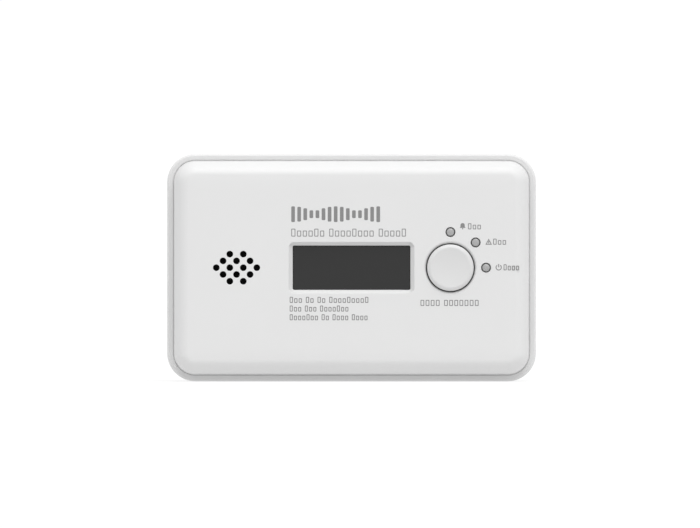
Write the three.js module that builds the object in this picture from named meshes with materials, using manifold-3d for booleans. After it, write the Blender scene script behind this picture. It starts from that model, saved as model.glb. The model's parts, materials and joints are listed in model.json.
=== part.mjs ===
// Battery carbon monoxide detector: a flat box with a display, a round test button with three
// lights around it, and a horn behind a patch of small holes. Millimetres. +X is to the right
// and -Y towards the reader when the front is looked at, +Z is up, and the box stands on z = 0.
import * as THREE from "three";
import { mergeVertices } from "three/addons/utils/BufferGeometryUtils.js";
import ManifoldModule from "manifold-3d";

const manifold = await ManifoldModule();
manifold.setup();

// ---------------------------------------------------------------- driving dimensions

const caseWidth = 120;
const caseHeight = 74;
const wall = 2;
const gap = 0.3; // between pieces that touch each other in the real object
const overlap = 0.5; // how far joined lumps of one moulding run into each other

// cells, which set the depth of the rear cover
const cellRadius = 7.25;
const cellLength = 50.5;
const cellNubLength = 1;
const cellNubRadius = 2.75;

// depths from the wall forwards
const rearDepth = 2 * cellRadius + 7.5; // the rear cover, from the wall to its rim
const frontDepth = 13; // the part of the front cover that stands out of the rim
const buttonProud = 1;
const caseDepth = rearDepth + frontDepth + buttonProud;
const midZ = caseHeight / 2;
const backY = caseDepth / 2;
const backInnerY = backY - wall;
const rimY = backY - rearDepth;
const faceY = rimY - frontDepth;
const buttonFaceY = faceY - buttonProud;

// rear cover
const rearCorner = 9.2;
const rimRound = { across: 0.8, along: 0.8, steps: 2 };
const backRound = { across: 2, along: 2, steps: 3 };

// display
const windowWidth = 38.2;
const windowHeight = 14.4;
const windowBevel = 1.05;
const windowBevelDepth = 1.5;
const windowBow = 0.45; // how far the window's ends bulge at mid height
const lensRecess = 1.4;
const lensFlange = 2.6;
const lensPlate = 1.2;
const glassThickness = 2.8;
const glassMarginX = 1.3;
const glassMarginZ = 1.7;
const frameWall = 1.2;

// test button
const buttonRadius = 7.55;
const buttonTravel = 0.6;
const buttonRimRound = 0.85;
const buttonDishMargin = 0.9; // from the cap's edge to its dished face
const buttonDishDepth = 0.5;
const buttonRing = 0.32; // dark gap around the cap
const buttonHoleLip = { across: 0.6, along: 1.2 };
const buttonHoleRadius = buttonRadius + buttonRing;
const buttonFlangeReach = 1.1;
const buttonFlangeThickness = 1;
const buttonFlangeRadius = buttonHoleRadius + buttonFlangeReach;
const buttonPostRadius = 2.2;
const moduleGap = 1.4; // from the display's lens to the button's flange, and to the sounder
const buttonX = windowWidth / 2 + lensFlange + moduleGap + buttonFlangeRadius;

// front cover
const facePlate = 2.2;
const faceInnerY = faceY + facePlate;
const coverInset = wall + gap; // the front cover slides inside the rear cover's rim
const coverLap = 2.5;
const coverEndY = rimY + coverLap;
const softEdge = { across: 4.7, along: 7, steps: 6 };
const innerEdgeMargin = 0.5; // keeps the corners of the hollow round
const innerSoftEdge = { across: rearCorner - coverInset - wall - innerEdgeMargin, along: 5, steps: 3 };

// sounder behind the grille
const sounderRadius = 14.2;
const sounderWall = 0.9;
const sounderFloor = 1;
const sounderLedgeWidth = 1;
const sounderLedgeY = faceY + 7;
const ceramicRadius = 9.4;
const grilleMeshInset = 2;
const grilleX = -(windowWidth / 2 + lensFlange + moduleGap + sounderRadius);
const grilleRows = [2, 3, 4, 3, 2];
const grillePitchX = 4.38;
const grillePitchZ = 2.2;
const grilleHoleRadius = 1.08;

// indicator lights
const lightReach = 3.68; // from the edge of the button's hole to the lights' centres
const lightCircle = buttonHoleRadius + lightReach;
const lightAngles = { alarm: 90, fault: 45, power: 0 };
const lightPipeRadius = 1.23;
const lightHoleRadius = 1.6;
const lightFlangeRadius = 1.9;
const lightFlangeThickness = 0.8;
const lightProud = 0.3;
const lightCrown = 0.3;
const lampRadius = 1.5;
const lampFootRadius = 1.9;
const lampFootHeight = 1;
const lampStem = 3.1; // from the board to where the dome starts

// circuit board
const boardFrontY = faceY + 10.8;
const boardThickness = 1.6;
const boardBackY = boardFrontY + boardThickness;
const boardSlack = 0.5;
const boardCorner = 2;
const boardNotchSlack = 0.8;
const boardTopY = boardFrontY - gap; // the feet of what stands on the board's front
const boardRearFootY = boardBackY + gap; // the feet of what stands on its back

// tact switch under the button
const switchSize = 6;
const switchHeight = 3.4;
const switchWell = 1.6;
const plungerRadius = 1.75;
const plungerHeight = 4.8; // the plunger's tip above the board
const plungerTravel = 0.25;
const plungerPress = 0.2; // how far a full press of the button pushes the plunger
const buttonFreePlay = buttonTravel - plungerPress;
const plungerTipY = boardFrontY - plungerHeight;

// case screws and the columns they run in
const columnInsetX = 9.5;
const columnInsetZ = 8.2;
const columnRadius = 4;
const bossRadius = 3.6;
const casePilotFloor = 2.3; // plastic left in front of the pilot hole
const caseTipClearance = 1.5;
const screwClearRadius = 1.7;
const screwShankRadius = 1.4;
const screwHeadRadius = 2.7;
const screwHeadHeight = 2;
const counterboreRadius = 3.1;
const counterboreDepth = 12;
const screwSeatY = backY - counterboreDepth;

// board screws
const boardBossRadius = 2.75;
const boardPilotRadius = 1.3;
const boardShankRadius = 1.0;
const boardHeadRadius = 2.3;
const boardHeadHeight = 1.6;
const boardHoleRadius = 1.5;
const boardPilotFloor = 1.5;
const boardTipClearance = 1;
const boardScrewBeside = 3; // from the ends of the display window
const boardScrewFromTop = 12;
const boardScrewFromFoot = 10;

// cross recess and head shape of all screws
const screwPoint = 1.2;
const screwTipRadius = 0.4;
const headEdge = 1;
const headFlatInset = 0.7;
const crossHalfLength = 1.3;
const crossHalfWidth = 0.38;
const crossDepth = 1;

// bay for the cells
const cellSpacing = 0.7;
const cellPitch = 2 * cellRadius + cellSpacing;
const cellSideSlack = 0.75;
const bayEndSlack = 8.7;
const bayWall = 1.5;
const bayFloor = 1.3;
const bayHalfWidth = (cellLength + bayEndSlack) / 2;
const bayHalfHeight = cellPitch + cellRadius + cellSideSlack;
const bayCorner = 1;
const ribHeight = 3.5;
const ribThickness = 1;
const ribInset = 8; // from the bay's ends

// battery door, hinged along its lower edge
const doorThickness = 1.7;
const doorOverhang = 1.9; // how far the door reaches past the bay at each end
const doorCorner = 1.5;
const doorInnerY = backY - doorThickness;
const doorHalfWidth = bayHalfWidth + doorOverhang;
const ledgeY = doorInnerY - gap;
const ledgeBlock = 2.4;
const hingeDepth = 1.3; // the pin's depth below the back face
const hingeBelowBay = 3.2;
const hingeY = backY - hingeDepth;
const hingeZ = midZ - bayHalfHeight - hingeBelowBay;
const doorFootAbovePin = 1.9;
const recessFootAbovePin = 1.2;
const ledgeBelowPin = 3.2;
const doorAboveBay = 1.4;
const doorFootZ = hingeZ + doorFootAbovePin;
const recessFootZ = hingeZ + recessFootAbovePin;
const doorTopZ = midZ + bayHalfHeight + doorAboveBay;
const barrelRadius = 1.1;
const barrelArmDepth = 1;
const pocketBelowBarrel = 0.6;
const pocketBeforeBarrel = 0.4;
const pinRadius = 0.6;
const pinClearance = 0.1;
const pinLength = 1.4;
const barrelSpan = { from: 14, to: 22 };

// snap tab and label on the door
const latchHalfWidth = 6;
const latchSlotWidth = 0.8;
const latchLength = 8.5;
const gripCount = 3;
const gripPitch = 1.6;
const gripFromTop = 2;
const gripRadius = 0.5;
const gripHalfLength = 4.2;
const labelWidth = 43;
const labelHeight = 26;
const labelCorner = 1;
const labelBelowMiddle = 8;
const labelThickness = 0.2;
const labelSeatDepth = 0.45;
const labelSeatMargin = 0.3;
const labelGlue = 0.1; // between the seat and the label

const cellBehindSlack = 0.05;
const cellFrontSlack = 0.35;
const cellY = ledgeY - cellRadius - cellBehindSlack;
const bayFloorY = cellY - cellRadius - cellFrontSlack;

// keyholes that hang the box on two wall screws
const keyholeFromBay = 14.4;
const keyholeAboveMiddle = 11;
const keyholeX = bayHalfWidth + keyholeFromBay;
const keyholeZ = midZ + keyholeAboveMiddle;
const keyholeHeadRadius = 4.25;
const keyholeSlotRadius = 2.1;
const keyholeRise = 7;

// carbon monoxide sensor in the left bay
const sensorRadius = 9.8;
const sensorX = -(caseWidth / 2 - coverInset - wall - 2 * gap - sensorRadius);
const sensorBelowMiddle = 11;
const sensorZ = midZ - sensorBelowMiddle;
const sensorBreathing = 3.3; // from the filter cap to the back wall
const sensorCapHeight = 3.2;
const sensorCapEndY = backInnerY - sensorBreathing;
const sensorCanEndY = sensorCapEndY - sensorCapHeight;

// vent slots beside and behind the sensor
const ventCount = 5;
const ventPitch = 4;
const ventWidth = 1.6;
const ventLength = 10;
const sideVentFromRim = 6;

// ---------------------------------------------------------------- looks

const looks = {
  shell: { color: 0xf2f2f0, roughness: 0.5, metalness: 0 },
  button: { color: 0xe9eaea, roughness: 0.42, metalness: 0 },
  smoke: { color: 0x2c2f30, roughness: 0.15, metalness: 0 },
  glass: { color: 0x8c9488, roughness: 0.2, metalness: 0 },
  blackPlastic: { color: 0x1b1b1c, roughness: 0.6, metalness: 0 },
  rubber: { color: 0x3a3a3d, roughness: 0.9, metalness: 0 },
  darkMesh: { color: 0x141414, roughness: 0.95, metalness: 0 },
  brass: { color: 0xc8a24a, roughness: 0.35, metalness: 1 },
  ceramic: { color: 0xd9d5cb, roughness: 0.7, metalness: 0 },
  board: { color: 0x1f6b3a, roughness: 0.55, metalness: 0 },
  lens: { color: 0xb9bcbe, roughness: 0.25, metalness: 0 },
  redLight: { color: 0xc43a34, roughness: 0.25, metalness: 0 },
  amberLight: { color: 0xd9982b, roughness: 0.25, metalness: 0 },
  greenLight: { color: 0x3fa35a, roughness: 0.25, metalness: 0 },
  steel: { color: 0xb4b6b8, roughness: 0.3, metalness: 1 },
  zinc: { color: 0xc9cacc, roughness: 0.4, metalness: 1 },
  can: { color: 0xa9abad, roughness: 0.35, metalness: 1 },
  cell: { color: 0x3d4b57, roughness: 0.35, metalness: 0.4 },
  sleeve: { color: 0x22314e, roughness: 0.4, metalness: 0 },
  redWire: { color: 0xb3261e, roughness: 0.5, metalness: 0 },
  blackWire: { color: 0x161616, roughness: 0.5, metalness: 0 },
  paper: { color: 0xdfe0df, roughness: 0.7, metalness: 0 },
};

// ---------------------------------------------------------------- solids from three.js geometry

const weldTolerance = 1e-4;
const beyond = 200; // larger than anything that is cut

/** A closed three.js geometry as a solid that can be joined and cut. */
function solidOf(geometry) {
  geometry.deleteAttribute("normal");
  geometry.deleteAttribute("uv");
  const welded = mergeVertices(geometry, weldTolerance);
  const mesh = new manifold.Mesh({
    numProp: 3,
    vertProperties: welded.attributes.position.array,
    triVerts: new Uint32Array(welded.index.array),
  });
  return new manifold.Manifold(mesh);
}

/** A solid back as three.js geometry with its own normals. */
function geometryOf(solid) {
  const mesh = solid.getMesh();
  const geometry = new THREE.BufferGeometry();
  geometry.setAttribute("position", new THREE.BufferAttribute(mesh.vertProperties, 3));
  geometry.setIndex(new THREE.BufferAttribute(mesh.triVerts, 1));
  geometry.computeVertexNormals();
  return geometry;
}

function joined(solids) {
  return solids.reduce((whole, next) => whole.add(next));
}

function cutBy(solid, cutters) {
  return cutters.reduce((rest, cutter) => rest.subtract(cutter), solid);
}

/** A box between two values on each axis. */
function box([xLow, xHigh], [yLow, yHigh], [zLow, zHigh]) {
  const geometry = new THREE.BoxGeometry(xHigh - xLow, yHigh - yLow, zHigh - zLow);
  geometry.translate((xLow + xHigh) / 2, (yLow + yHigh) / 2, (zLow + zHigh) / 2);
  return solidOf(geometry);
}

/** Two values of X mirrored to one side, lower one first. */
function mirrored(side, near, far) {
  return [side * near, side * far].sort((a, b) => a - b);
}

/** A round bar along Y. */
function rodY(radius, [yLow, yHigh], x, z, segments = 24) {
  const geometry = new THREE.CylinderGeometry(radius, radius, yHigh - yLow, segments);
  geometry.translate(x, (yLow + yHigh) / 2, z);
  return solidOf(geometry);
}

/** A round bar along X. */
function rodX(radius, [xLow, xHigh], y, z, segments = 16) {
  const geometry = new THREE.CylinderGeometry(radius, radius, xHigh - xLow, segments);
  geometry.rotateZ(Math.PI / 2);
  geometry.translate((xLow + xHigh) / 2, y, z);
  return solidOf(geometry);
}

/** A piece turned about a line along Y; the profile lists [radius, y], y rising on the outside. */
function turned(profile, x, z, segments = 32) {
  const points = profile.map(([radius, y]) => new THREE.Vector2(radius, y));
  const geometry = new THREE.LatheGeometry(points, segments);
  geometry.translate(x, 0, z);
  return solidOf(geometry);
}

/** A rounded rectangle in the front view. */
function roundedRect(width, height, radius, x = 0, z = midZ) {
  const shape = new THREE.Shape();
  const right = x + width / 2 - radius;
  const left = x - width / 2 + radius;
  const top = z + height / 2 - radius;
  const bottom = z - height / 2 + radius;
  shape.absarc(right, top, radius, 0, Math.PI / 2);
  shape.absarc(left, top, radius, Math.PI / 2, Math.PI);
  shape.absarc(left, bottom, radius, Math.PI, 1.5 * Math.PI);
  shape.absarc(right, bottom, radius, 1.5 * Math.PI, 2 * Math.PI);
  shape.closePath();
  return shape;
}

/** A rectangle whose two ends bulge outwards, for the display window. */
function bowedRect(width, height, bow, x = 0, z = midZ) {
  const shape = new THREE.Shape();
  const halfWidth = width / 2 - bow;
  const halfHeight = height / 2;
  shape.moveTo(x - halfWidth, z - halfHeight);
  shape.lineTo(x + halfWidth, z - halfHeight);
  shape.quadraticCurveTo(x + halfWidth + 2 * bow, z, x + halfWidth, z + halfHeight);
  shape.lineTo(x - halfWidth, z + halfHeight);
  shape.quadraticCurveTo(x - halfWidth - 2 * bow, z, x - halfWidth, z - halfHeight);
  return shape;
}

/** A front-view outline given depth from yFront to yBack. */
function slab(shape, [yFront, yBack], curveSegments = 3) {
  const depth = yBack - yFront;
  const geometry = new THREE.ExtrudeGeometry(shape, { depth, bevelEnabled: false, curveSegments });
  geometry.rotateX(Math.PI / 2);
  geometry.translate(0, yBack, 0);
  return solidOf(geometry);
}

/** The same with both ends rounded: `across` in from the outline and `along` the depth. */
function softSlab(shape, [yFront, yBack], { across, along, steps }, curveSegments = 3) {
  const geometry = new THREE.ExtrudeGeometry(shape, {
    depth: yBack - yFront - 2 * along,
    bevelEnabled: true,
    bevelSize: across,
    bevelOffset: -across,
    bevelThickness: along,
    bevelSegments: steps,
    curveSegments,
  });
  geometry.rotateX(Math.PI / 2);
  geometry.translate(0, yBack - along, 0);
  return solidOf(geometry);
}

function everythingBehind(y) {
  return box([-beyond, beyond], [y, y + beyond], [-beyond, beyond]);
}

function everythingInFrontOf(y) {
  return box([-beyond, beyond], [y - beyond, y], [-beyond, beyond]);
}

/** A slab rounded at the front only. */
function softFrontSlab(shape, [yFront, yBack], round) {
  const full = softSlab(shape, [yFront, yBack + 2 * round.along], round);
  return full.subtract(everythingBehind(yBack));
}

/** A slab rounded at the back only. */
function softBackSlab(shape, [yFront, yBack], round) {
  const full = softSlab(shape, [yFront - 2 * round.along, yBack], round);
  return full.subtract(everythingInFrontOf(yFront));
}

/** A wire that follows a curve; a full circle gets twice its curveSegments as sides. */
function wire(path, radius, steps, sides) {
  const section = new THREE.Shape();
  section.absarc(0, 0, radius, 0, 2 * Math.PI);
  const geometry = new THREE.ExtrudeGeometry(section, {
    steps,
    curveSegments: sides / 2,
    bevelEnabled: false,
    extrudePath: path,
  });
  return solidOf(geometry);
}

/** The centre line of a conical coil whose axis runs along X. */
class ConicalCoil extends THREE.Curve {
  constructor(fromX, toX, fromRadius, toRadius, turns, y, z) {
    super();
    Object.assign(this, { fromX, toX, fromRadius, toRadius, turns, y, z });
  }

  getPoint(t, target = new THREE.Vector3()) {
    const angle = 2 * Math.PI * this.turns * t;
    const radius = THREE.MathUtils.lerp(this.fromRadius, this.toRadius, t);
    const x = THREE.MathUtils.lerp(this.fromX, this.toX, t);
    return target.set(x, this.y + radius * Math.cos(angle), this.z + radius * Math.sin(angle));
  }
}

// ---------------------------------------------------------------- places shared by several pieces

const cornerPlaces = [-1, 1].flatMap((sideX) =>
  [-1, 1].map((sideZ) => ({
    x: sideX * (caseWidth / 2 - columnInsetX),
    z: midZ + sideZ * (caseHeight / 2 - columnInsetZ),
  })),
);

const boardScrewPlaces = [
  { x: -windowWidth / 2 - boardScrewBeside, z: caseHeight - boardScrewFromTop },
  { x: windowWidth / 2 + boardScrewBeside, z: caseHeight - boardScrewFromTop },
  { x: 0, z: boardScrewFromFoot },
];

const cellRows = [
  { name: "cell_upper", z: midZ + cellPitch, plusSide: 1 },
  { name: "cell_middle", z: midZ, plusSide: -1 },
  { name: "cell_lower", z: midZ - cellPitch, plusSide: 1 },
];

function lightPlace(angle) {
  const turn = THREE.MathUtils.degToRad(angle);
  return { x: buttonX + lightCircle * Math.cos(turn), z: midZ + lightCircle * Math.sin(turn) };
}

const grilleHoles = grilleRows.flatMap((count, row) => {
  const z = midZ + (row - (grilleRows.length - 1) / 2) * grillePitchZ;
  return Array.from({ length: count }, (_, i) => ({
    x: grilleX + (i - (count - 1) / 2) * grillePitchX,
    z,
  }));
});

// ---------------------------------------------------------------- covers

function coverOutline(inset) {
  return roundedRect(caseWidth - 2 * inset, caseHeight - 2 * inset, rearCorner - inset);
}

/** The display window's cutter: a bevel at the face, then straight sides. */
function windowCutter() {
  const outer = bowedRect(windowWidth + 2 * windowBevel, windowHeight + 2 * windowBevel, windowBow);
  const bevel = { across: windowBevel, along: windowBevelDepth, steps: 1 };
  const funnel = softBackSlab(outer, [faceY - 1, faceY + windowBevelDepth], bevel);
  const straight = slab(bowedRect(windowWidth, windowHeight, windowBow), [faceY, faceInnerY + 1]);
  return funnel.add(straight);
}

/** The button's hole, its front edge rounded outwards. */
function buttonHoleCutter() {
  const { across, along } = buttonHoleLip;
  const steps = 4;
  const arc = Array.from({ length: steps + 1 }, (_, i) => {
    const turn = (i / steps) * (Math.PI / 2);
    return [buttonHoleRadius + across * (1 - Math.cos(turn)), faceY + along * (1 - Math.sin(turn))];
  });
  const front = faceY - 1;
  const profile = [[0, front], [buttonHoleRadius + across, front], ...arc.reverse()];
  return turned([...profile, [buttonHoleRadius, faceInnerY + 1], [0, faceInnerY + 1]], buttonX, midZ, 32);
}

function frontCover() {
  const shell = softFrontSlab(coverOutline(coverInset), [faceY, coverEndY], softEdge);
  const hollow = softFrontSlab(coverOutline(coverInset + wall), [faceInnerY, coverEndY + 1], innerSoftEdge);
  const bossRoot = faceInnerY - overlap;
  const caseBosses = cornerPlaces.map(({ x, z }) => rodY(bossRadius, [bossRoot, coverEndY], x, z));
  const boardBosses = boardScrewPlaces.map(({ x, z }) =>
    rodY(boardBossRadius, [bossRoot, boardTopY], x, z, 16),
  );
  const casePilots = cornerPlaces.map(({ x, z }) =>
    rodY(screwClearRadius, [faceInnerY + casePilotFloor, coverEndY + 1], x, z, 16),
  );
  const boardPilots = boardScrewPlaces.map(({ x, z }) =>
    rodY(boardPilotRadius, [faceInnerY + boardPilotFloor, boardFrontY], x, z, 12),
  );
  const soundHoles = grilleHoles.map(({ x, z }) =>
    rodY(grilleHoleRadius, [faceY - 1, faceInnerY + 1], x, z, 12),
  );
  const lightHoles = Object.values(lightAngles).map((angle) => {
    const { x, z } = lightPlace(angle);
    return rodY(lightHoleRadius, [faceY - 1, faceInnerY + 1], x, z, 24);
  });
  const body = joined([shell.subtract(hollow), ...caseBosses, ...boardBosses]);
  const cutters = [windowCutter(), buttonHoleCutter(), ...casePilots, ...boardPilots];
  return cutBy(body, [...cutters, ...soundHoles, ...lightHoles]);
}

/** A keyhole through the back wall: a round hole for the screw's head with a slot above it. */
function keyholeCutter(side) {
  const depth = [backInnerY - 1, backY + 1];
  const slotTop = keyholeZ + keyholeRise;
  const x = side * keyholeX;
  const slot = box([x - keyholeSlotRadius, x + keyholeSlotRadius], depth, [keyholeZ, slotTop]);
  const slotEnd = rodY(keyholeSlotRadius, depth, x, slotTop, 16);
  return joined([rodY(keyholeHeadRadius, depth, x, keyholeZ, 24), slot, slotEnd]);
}

/** The pocket and the pin sockets of one of the door's two hinge barrels. */
function hingePocket(side) {
  const { from, to } = barrelSpan;
  const span = mirrored(side, from - gap, to + gap);
  const sockets = mirrored(side, from - pinLength - gap, to + pinLength + gap);
  const frontY = hingeY - barrelRadius - pocketBeforeBarrel;
  const footZ = hingeZ - barrelRadius - pocketBelowBarrel;
  const pocket = box(span, [frontY, backY + 1], [footZ, recessFootZ + overlap]);
  return pocket.add(rodX(pinRadius + pinClearance, sockets, hingeY, hingeZ, 20));
}

/** Slots through the left side and the back wall, level with the sensor. */
function ventCutters() {
  const lowestZ = sensorZ - ((ventCount - 1) / 2) * ventPitch;
  const heights = Array.from({ length: ventCount }, (_, i) => lowestZ + i * ventPitch);
  const left = -caseWidth / 2;
  const sideVentY = rimY + sideVentFromRim;
  const slotZ = (z) => [z - ventWidth / 2, z + ventWidth / 2];
  const sideSlots = heights.map((z) =>
    box([left - 1, left + wall + 1], [sideVentY, sideVentY + ventLength], slotZ(z)),
  );
  const backSlots = heights.map((z) => {
    const slot = roundedRect(ventLength, ventWidth, ventWidth / 2 - 0.01, sensorX, z);
    return slab(slot, [backInnerY - 1, backY + 1], 4);
  });
  return [...sideSlots, ...backSlots];
}

/** The bay that holds the cells, moulded inside the back wall, with the ledge the door lies on. */
function bayLump() {
  const halfWidth = bayHalfWidth + bayWall;
  const halfHeight = bayHalfHeight + bayWall;
  const depth = [bayFloorY - bayFloor, backInnerY + overlap];
  const tub = box([-halfWidth, halfWidth], depth, [midZ - halfHeight, midZ + halfHeight]);
  const ledgeHalfWidth = doorHalfWidth + bayWall;
  const ledge = box(
    [-ledgeHalfWidth, ledgeHalfWidth],
    [backInnerY - ledgeBlock, backInnerY + overlap],
    [hingeZ - ledgeBelowPin, doorTopZ + bayWall],
  );
  return tub.add(ledge);
}

/** What is cut out of the bay: the cells' space, the door's recess and the contact tabs' slots. */
function bayCutters() {
  const bay = slab(roundedRect(2 * bayHalfWidth, 2 * bayHalfHeight, bayCorner), [bayFloorY, backY]);
  const recessTopZ = doorTopZ + gap;
  const recess = slab(
    roundedRect(
      2 * (doorHalfWidth + gap),
      recessTopZ - recessFootZ,
      doorCorner + gap,
      0,
      (recessTopZ + recessFootZ) / 2,
    ),
    [ledgeY, backY + 1],
  );
  const tabSlots = [contactTab(1, cellRows[0].z, gap), contactTab(-1, cellRows[2].z, gap)];
  return [bay, recess, ...tabSlots];
}

/** Low ribs on the bay's floor that keep the cells apart. */
function cellRibs() {
  const halfLength = bayHalfWidth - ribInset;
  const depth = [bayFloorY - overlap, bayFloorY + ribHeight];
  return [-1, 1].map((side) => {
    const z = midZ + (side * cellPitch) / 2;
    return box([-halfLength, halfLength], depth, [z - ribThickness / 2, z + ribThickness / 2]);
  });
}

function rearCover() {
  const outline = coverOutline(0);
  const softRim = softFrontSlab(outline, [rimY, backY + 1], rimRound);
  const softBack = softBackSlab(outline, [rimY - 1, backY], backRound);
  const hollow = slab(coverOutline(wall), [rimY - 1, backInnerY]);
  const columns = cornerPlaces.map(({ x, z }) =>
    rodY(columnRadius, [coverEndY + gap, backInnerY + overlap], x, z, 20),
  );
  const body = joined([softRim.intersect(softBack).subtract(hollow), bayLump(), ...columns]);
  const counterbores = cornerPlaces.map(({ x, z }) =>
    rodY(counterboreRadius, [screwSeatY, backY + 1], x, z, 20),
  );
  const screwHoles = cornerPlaces.map(({ x, z }) =>
    rodY(screwClearRadius, [coverEndY - 1, screwSeatY + 1], x, z, 16),
  );
  const backHoles = [-1, 1].flatMap((side) => [keyholeCutter(side), hingePocket(side)]);
  const cutters = [...bayCutters(), ...counterbores, ...screwHoles, ...backHoles, ...ventCutters()];
  return joined([cutBy(body, cutters), ...cellRibs()]);
}

// ---------------------------------------------------------------- display

const lensFaceY = faceY + lensRecess;
const lensPlateY = faceInnerY + gap;
const lensWidth = windowWidth + 2 * lensFlange;
const lensHeight = windowHeight + 2 * lensFlange;
const glassY = lensPlateY + lensPlate + gap;
const glassEndY = glassY + glassThickness;

function displayLens() {
  const raised = bowedRect(windowWidth - 2 * gap, windowHeight - 2 * gap, windowBow);
  const flange = slab(roundedRect(lensWidth, lensHeight, 1), [lensPlateY, lensPlateY + lensPlate]);
  return flange.add(slab(raised, [lensFaceY, lensPlateY + overlap]));
}

function lcdPanel() {
  const width = windowWidth + 2 * glassMarginX;
  const height = windowHeight + 2 * glassMarginZ;
  return slab(roundedRect(width, height, 0.4), [glassY, glassEndY], 2);
}

function lcdFrame() {
  const innerWidth = windowWidth + 2 * (glassMarginX + gap);
  const innerHeight = windowHeight + 2 * (glassMarginZ + gap);
  const depth = [glassY, boardTopY];
  const outer = roundedRect(innerWidth + 2 * frameWall, innerHeight + 2 * frameWall, 1.2);
  const opening = slab(roundedRect(innerWidth, innerHeight, 0.4), [depth[0] - 1, depth[1] + 1], 2);
  return slab(outer, depth, 4).subtract(opening);
}

/** A rubber strip that joins one edge of the display's glass to the board. */
function lcdConnector(side) {
  const z = midZ + side * (windowHeight / 2 + 0.4);
  const halfLength = windowWidth / 2 - 0.5;
  return box([-halfLength, halfLength], [glassEndY + gap, boardTopY], [z - 1, z + 1]);
}

// ---------------------------------------------------------------- sounder

const discRadius = sounderRadius - sounderWall - gap;

function grilleMesh() {
  return rodY(sounderRadius - grilleMeshInset, [faceInnerY + gap, faceInnerY + 2 * gap], grilleX, midZ, 32);
}

/** A cup open towards the grille, with a ledge that the disc lies on. */
function sounderCase() {
  const mouth = faceInnerY + 3 * gap;
  const foot = boardTopY;
  const floor = foot - sounderFloor;
  const profile = [
    [0, floor],
    [discRadius - sounderLedgeWidth, floor],
    [discRadius - sounderLedgeWidth, sounderLedgeY],
    [discRadius + gap, sounderLedgeY],
    [discRadius + gap, mouth],
    [sounderRadius, mouth],
    [sounderRadius, foot],
    [0, foot],
  ];
  return turned(profile, grilleX, midZ, 32);
}

function piezoDisc() {
  return rodY(discRadius, [sounderLedgeY - 2 * gap, sounderLedgeY - gap], grilleX, midZ, 32);
}

function piezoCeramic() {
  return rodY(ceramicRadius, [sounderLedgeY, sounderLedgeY + gap], grilleX, midZ, 32);
}

// ---------------------------------------------------------------- button, switch and lights

/** A cap with a rounded rim and a dished face, a flange that keeps it in, and a post behind. */
function testButton() {
  const dishRadius = buttonRadius - buttonDishMargin;
  const steps = 4;
  const rimCentreY = buttonFaceY + buttonRimRound;
  const dish = Array.from({ length: steps }, (_, i) => {
    const share = i / steps;
    return [share * dishRadius, buttonFaceY + buttonDishDepth * (1 - share * share)];
  });
  const rim = Array.from({ length: steps + 1 }, (_, i) => {
    const turn = (i / steps) * (Math.PI / 2);
    const radius = buttonRadius - buttonRimRound * (1 - Math.sin(turn));
    return [radius, rimCentreY - buttonRimRound * Math.cos(turn)];
  });
  const flangeY = faceInnerY + gap;
  const flangeEndY = flangeY + buttonFlangeThickness;
  const postEndY = plungerTipY - buttonFreePlay;
  const profile = [
    ...dish,
    ...rim,
    [buttonRadius, flangeY],
    [buttonFlangeRadius, flangeY],
    [buttonFlangeRadius, flangeEndY],
    [buttonPostRadius, flangeEndY],
    [buttonPostRadius, postEndY],
    [0, postEndY],
  ];
  return turned(profile, buttonX, midZ, 32);
}

function switchBody() {
  const half = switchSize / 2;
  const top = boardTopY - switchHeight;
  const body = box([buttonX - half, buttonX + half], [top, boardTopY], [midZ - half, midZ + half]);
  return body.subtract(rodY(plungerRadius + gap, [top - 1, top + switchWell], buttonX, midZ, 20));
}

function switchPlunger() {
  const wellFloorY = boardTopY - switchHeight + switchWell;
  return rodY(plungerRadius, [plungerTipY, wellFloorY - gap - plungerTravel], buttonX, midZ, 20);
}

/** The clear peg that carries one lamp's light to the front face. */
function lightPipe(angle) {
  const { x, z } = lightPlace(angle);
  const tipY = faceY - lightProud;
  const flangeY = faceInnerY + gap;
  const flangeEndY = flangeY + lightFlangeThickness;
  const endY = boardTopY - lampStem - lampRadius - gap;
  const profile = [
    [0, tipY],
    [lightPipeRadius - lightCrown, tipY],
    [lightPipeRadius, tipY + lightCrown],
    [lightPipeRadius, flangeY],
    [lightFlangeRadius, flangeY],
    [lightFlangeRadius, flangeEndY],
    [lightPipeRadius, flangeEndY],
    [lightPipeRadius, endY],
    [0, endY],
  ];
  return turned(profile, x, z, 16);
}

/** A lamp with a domed top, standing on the board. */
function lamp(angle) {
  const { x, z } = lightPlace(angle);
  const rimY = boardTopY - lampFootHeight;
  const domeY = boardTopY - lampStem;
  const steps = 4;
  const dome = Array.from({ length: steps + 1 }, (_, i) => {
    const turn = (i / steps) * (Math.PI / 2);
    return [lampRadius * Math.sin(turn), domeY - lampRadius * Math.cos(turn)];
  });
  const foot = [[lampRadius, rimY], [lampFootRadius, rimY], [lampFootRadius, boardTopY], [0, boardTopY]];
  return turned([...dome, ...foot], x, z, 16);
}

// ---------------------------------------------------------------- board and what stands on it

function circuitBoard() {
  const inset = coverInset + wall + boardSlack;
  const outline = roundedRect(caseWidth - 2 * inset, caseHeight - 2 * inset, boardCorner);
  const plate = slab(outline, [boardFrontY, boardBackY]);
  const depth = [boardFrontY - 1, boardBackY + 1];
  const notchReach = bossRadius + boardNotchSlack;
  const notches = cornerPlaces.map(({ x, z }) => {
    const outX = Math.sign(x) * beyond;
    const outZ = z > midZ ? beyond : -beyond;
    const spanX = [x - Math.sign(x) * notchReach, outX].sort((a, b) => a - b);
    const spanZ = [z - Math.sign(z - midZ) * notchReach, outZ].sort((a, b) => a - b);
    return box(spanX, depth, spanZ);
  });
  const holes = boardScrewPlaces.map(({ x, z }) => rodY(boardHoleRadius, depth, x, z, 16));
  return cutBy(plate, [...notches, ...holes]);
}

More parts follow.
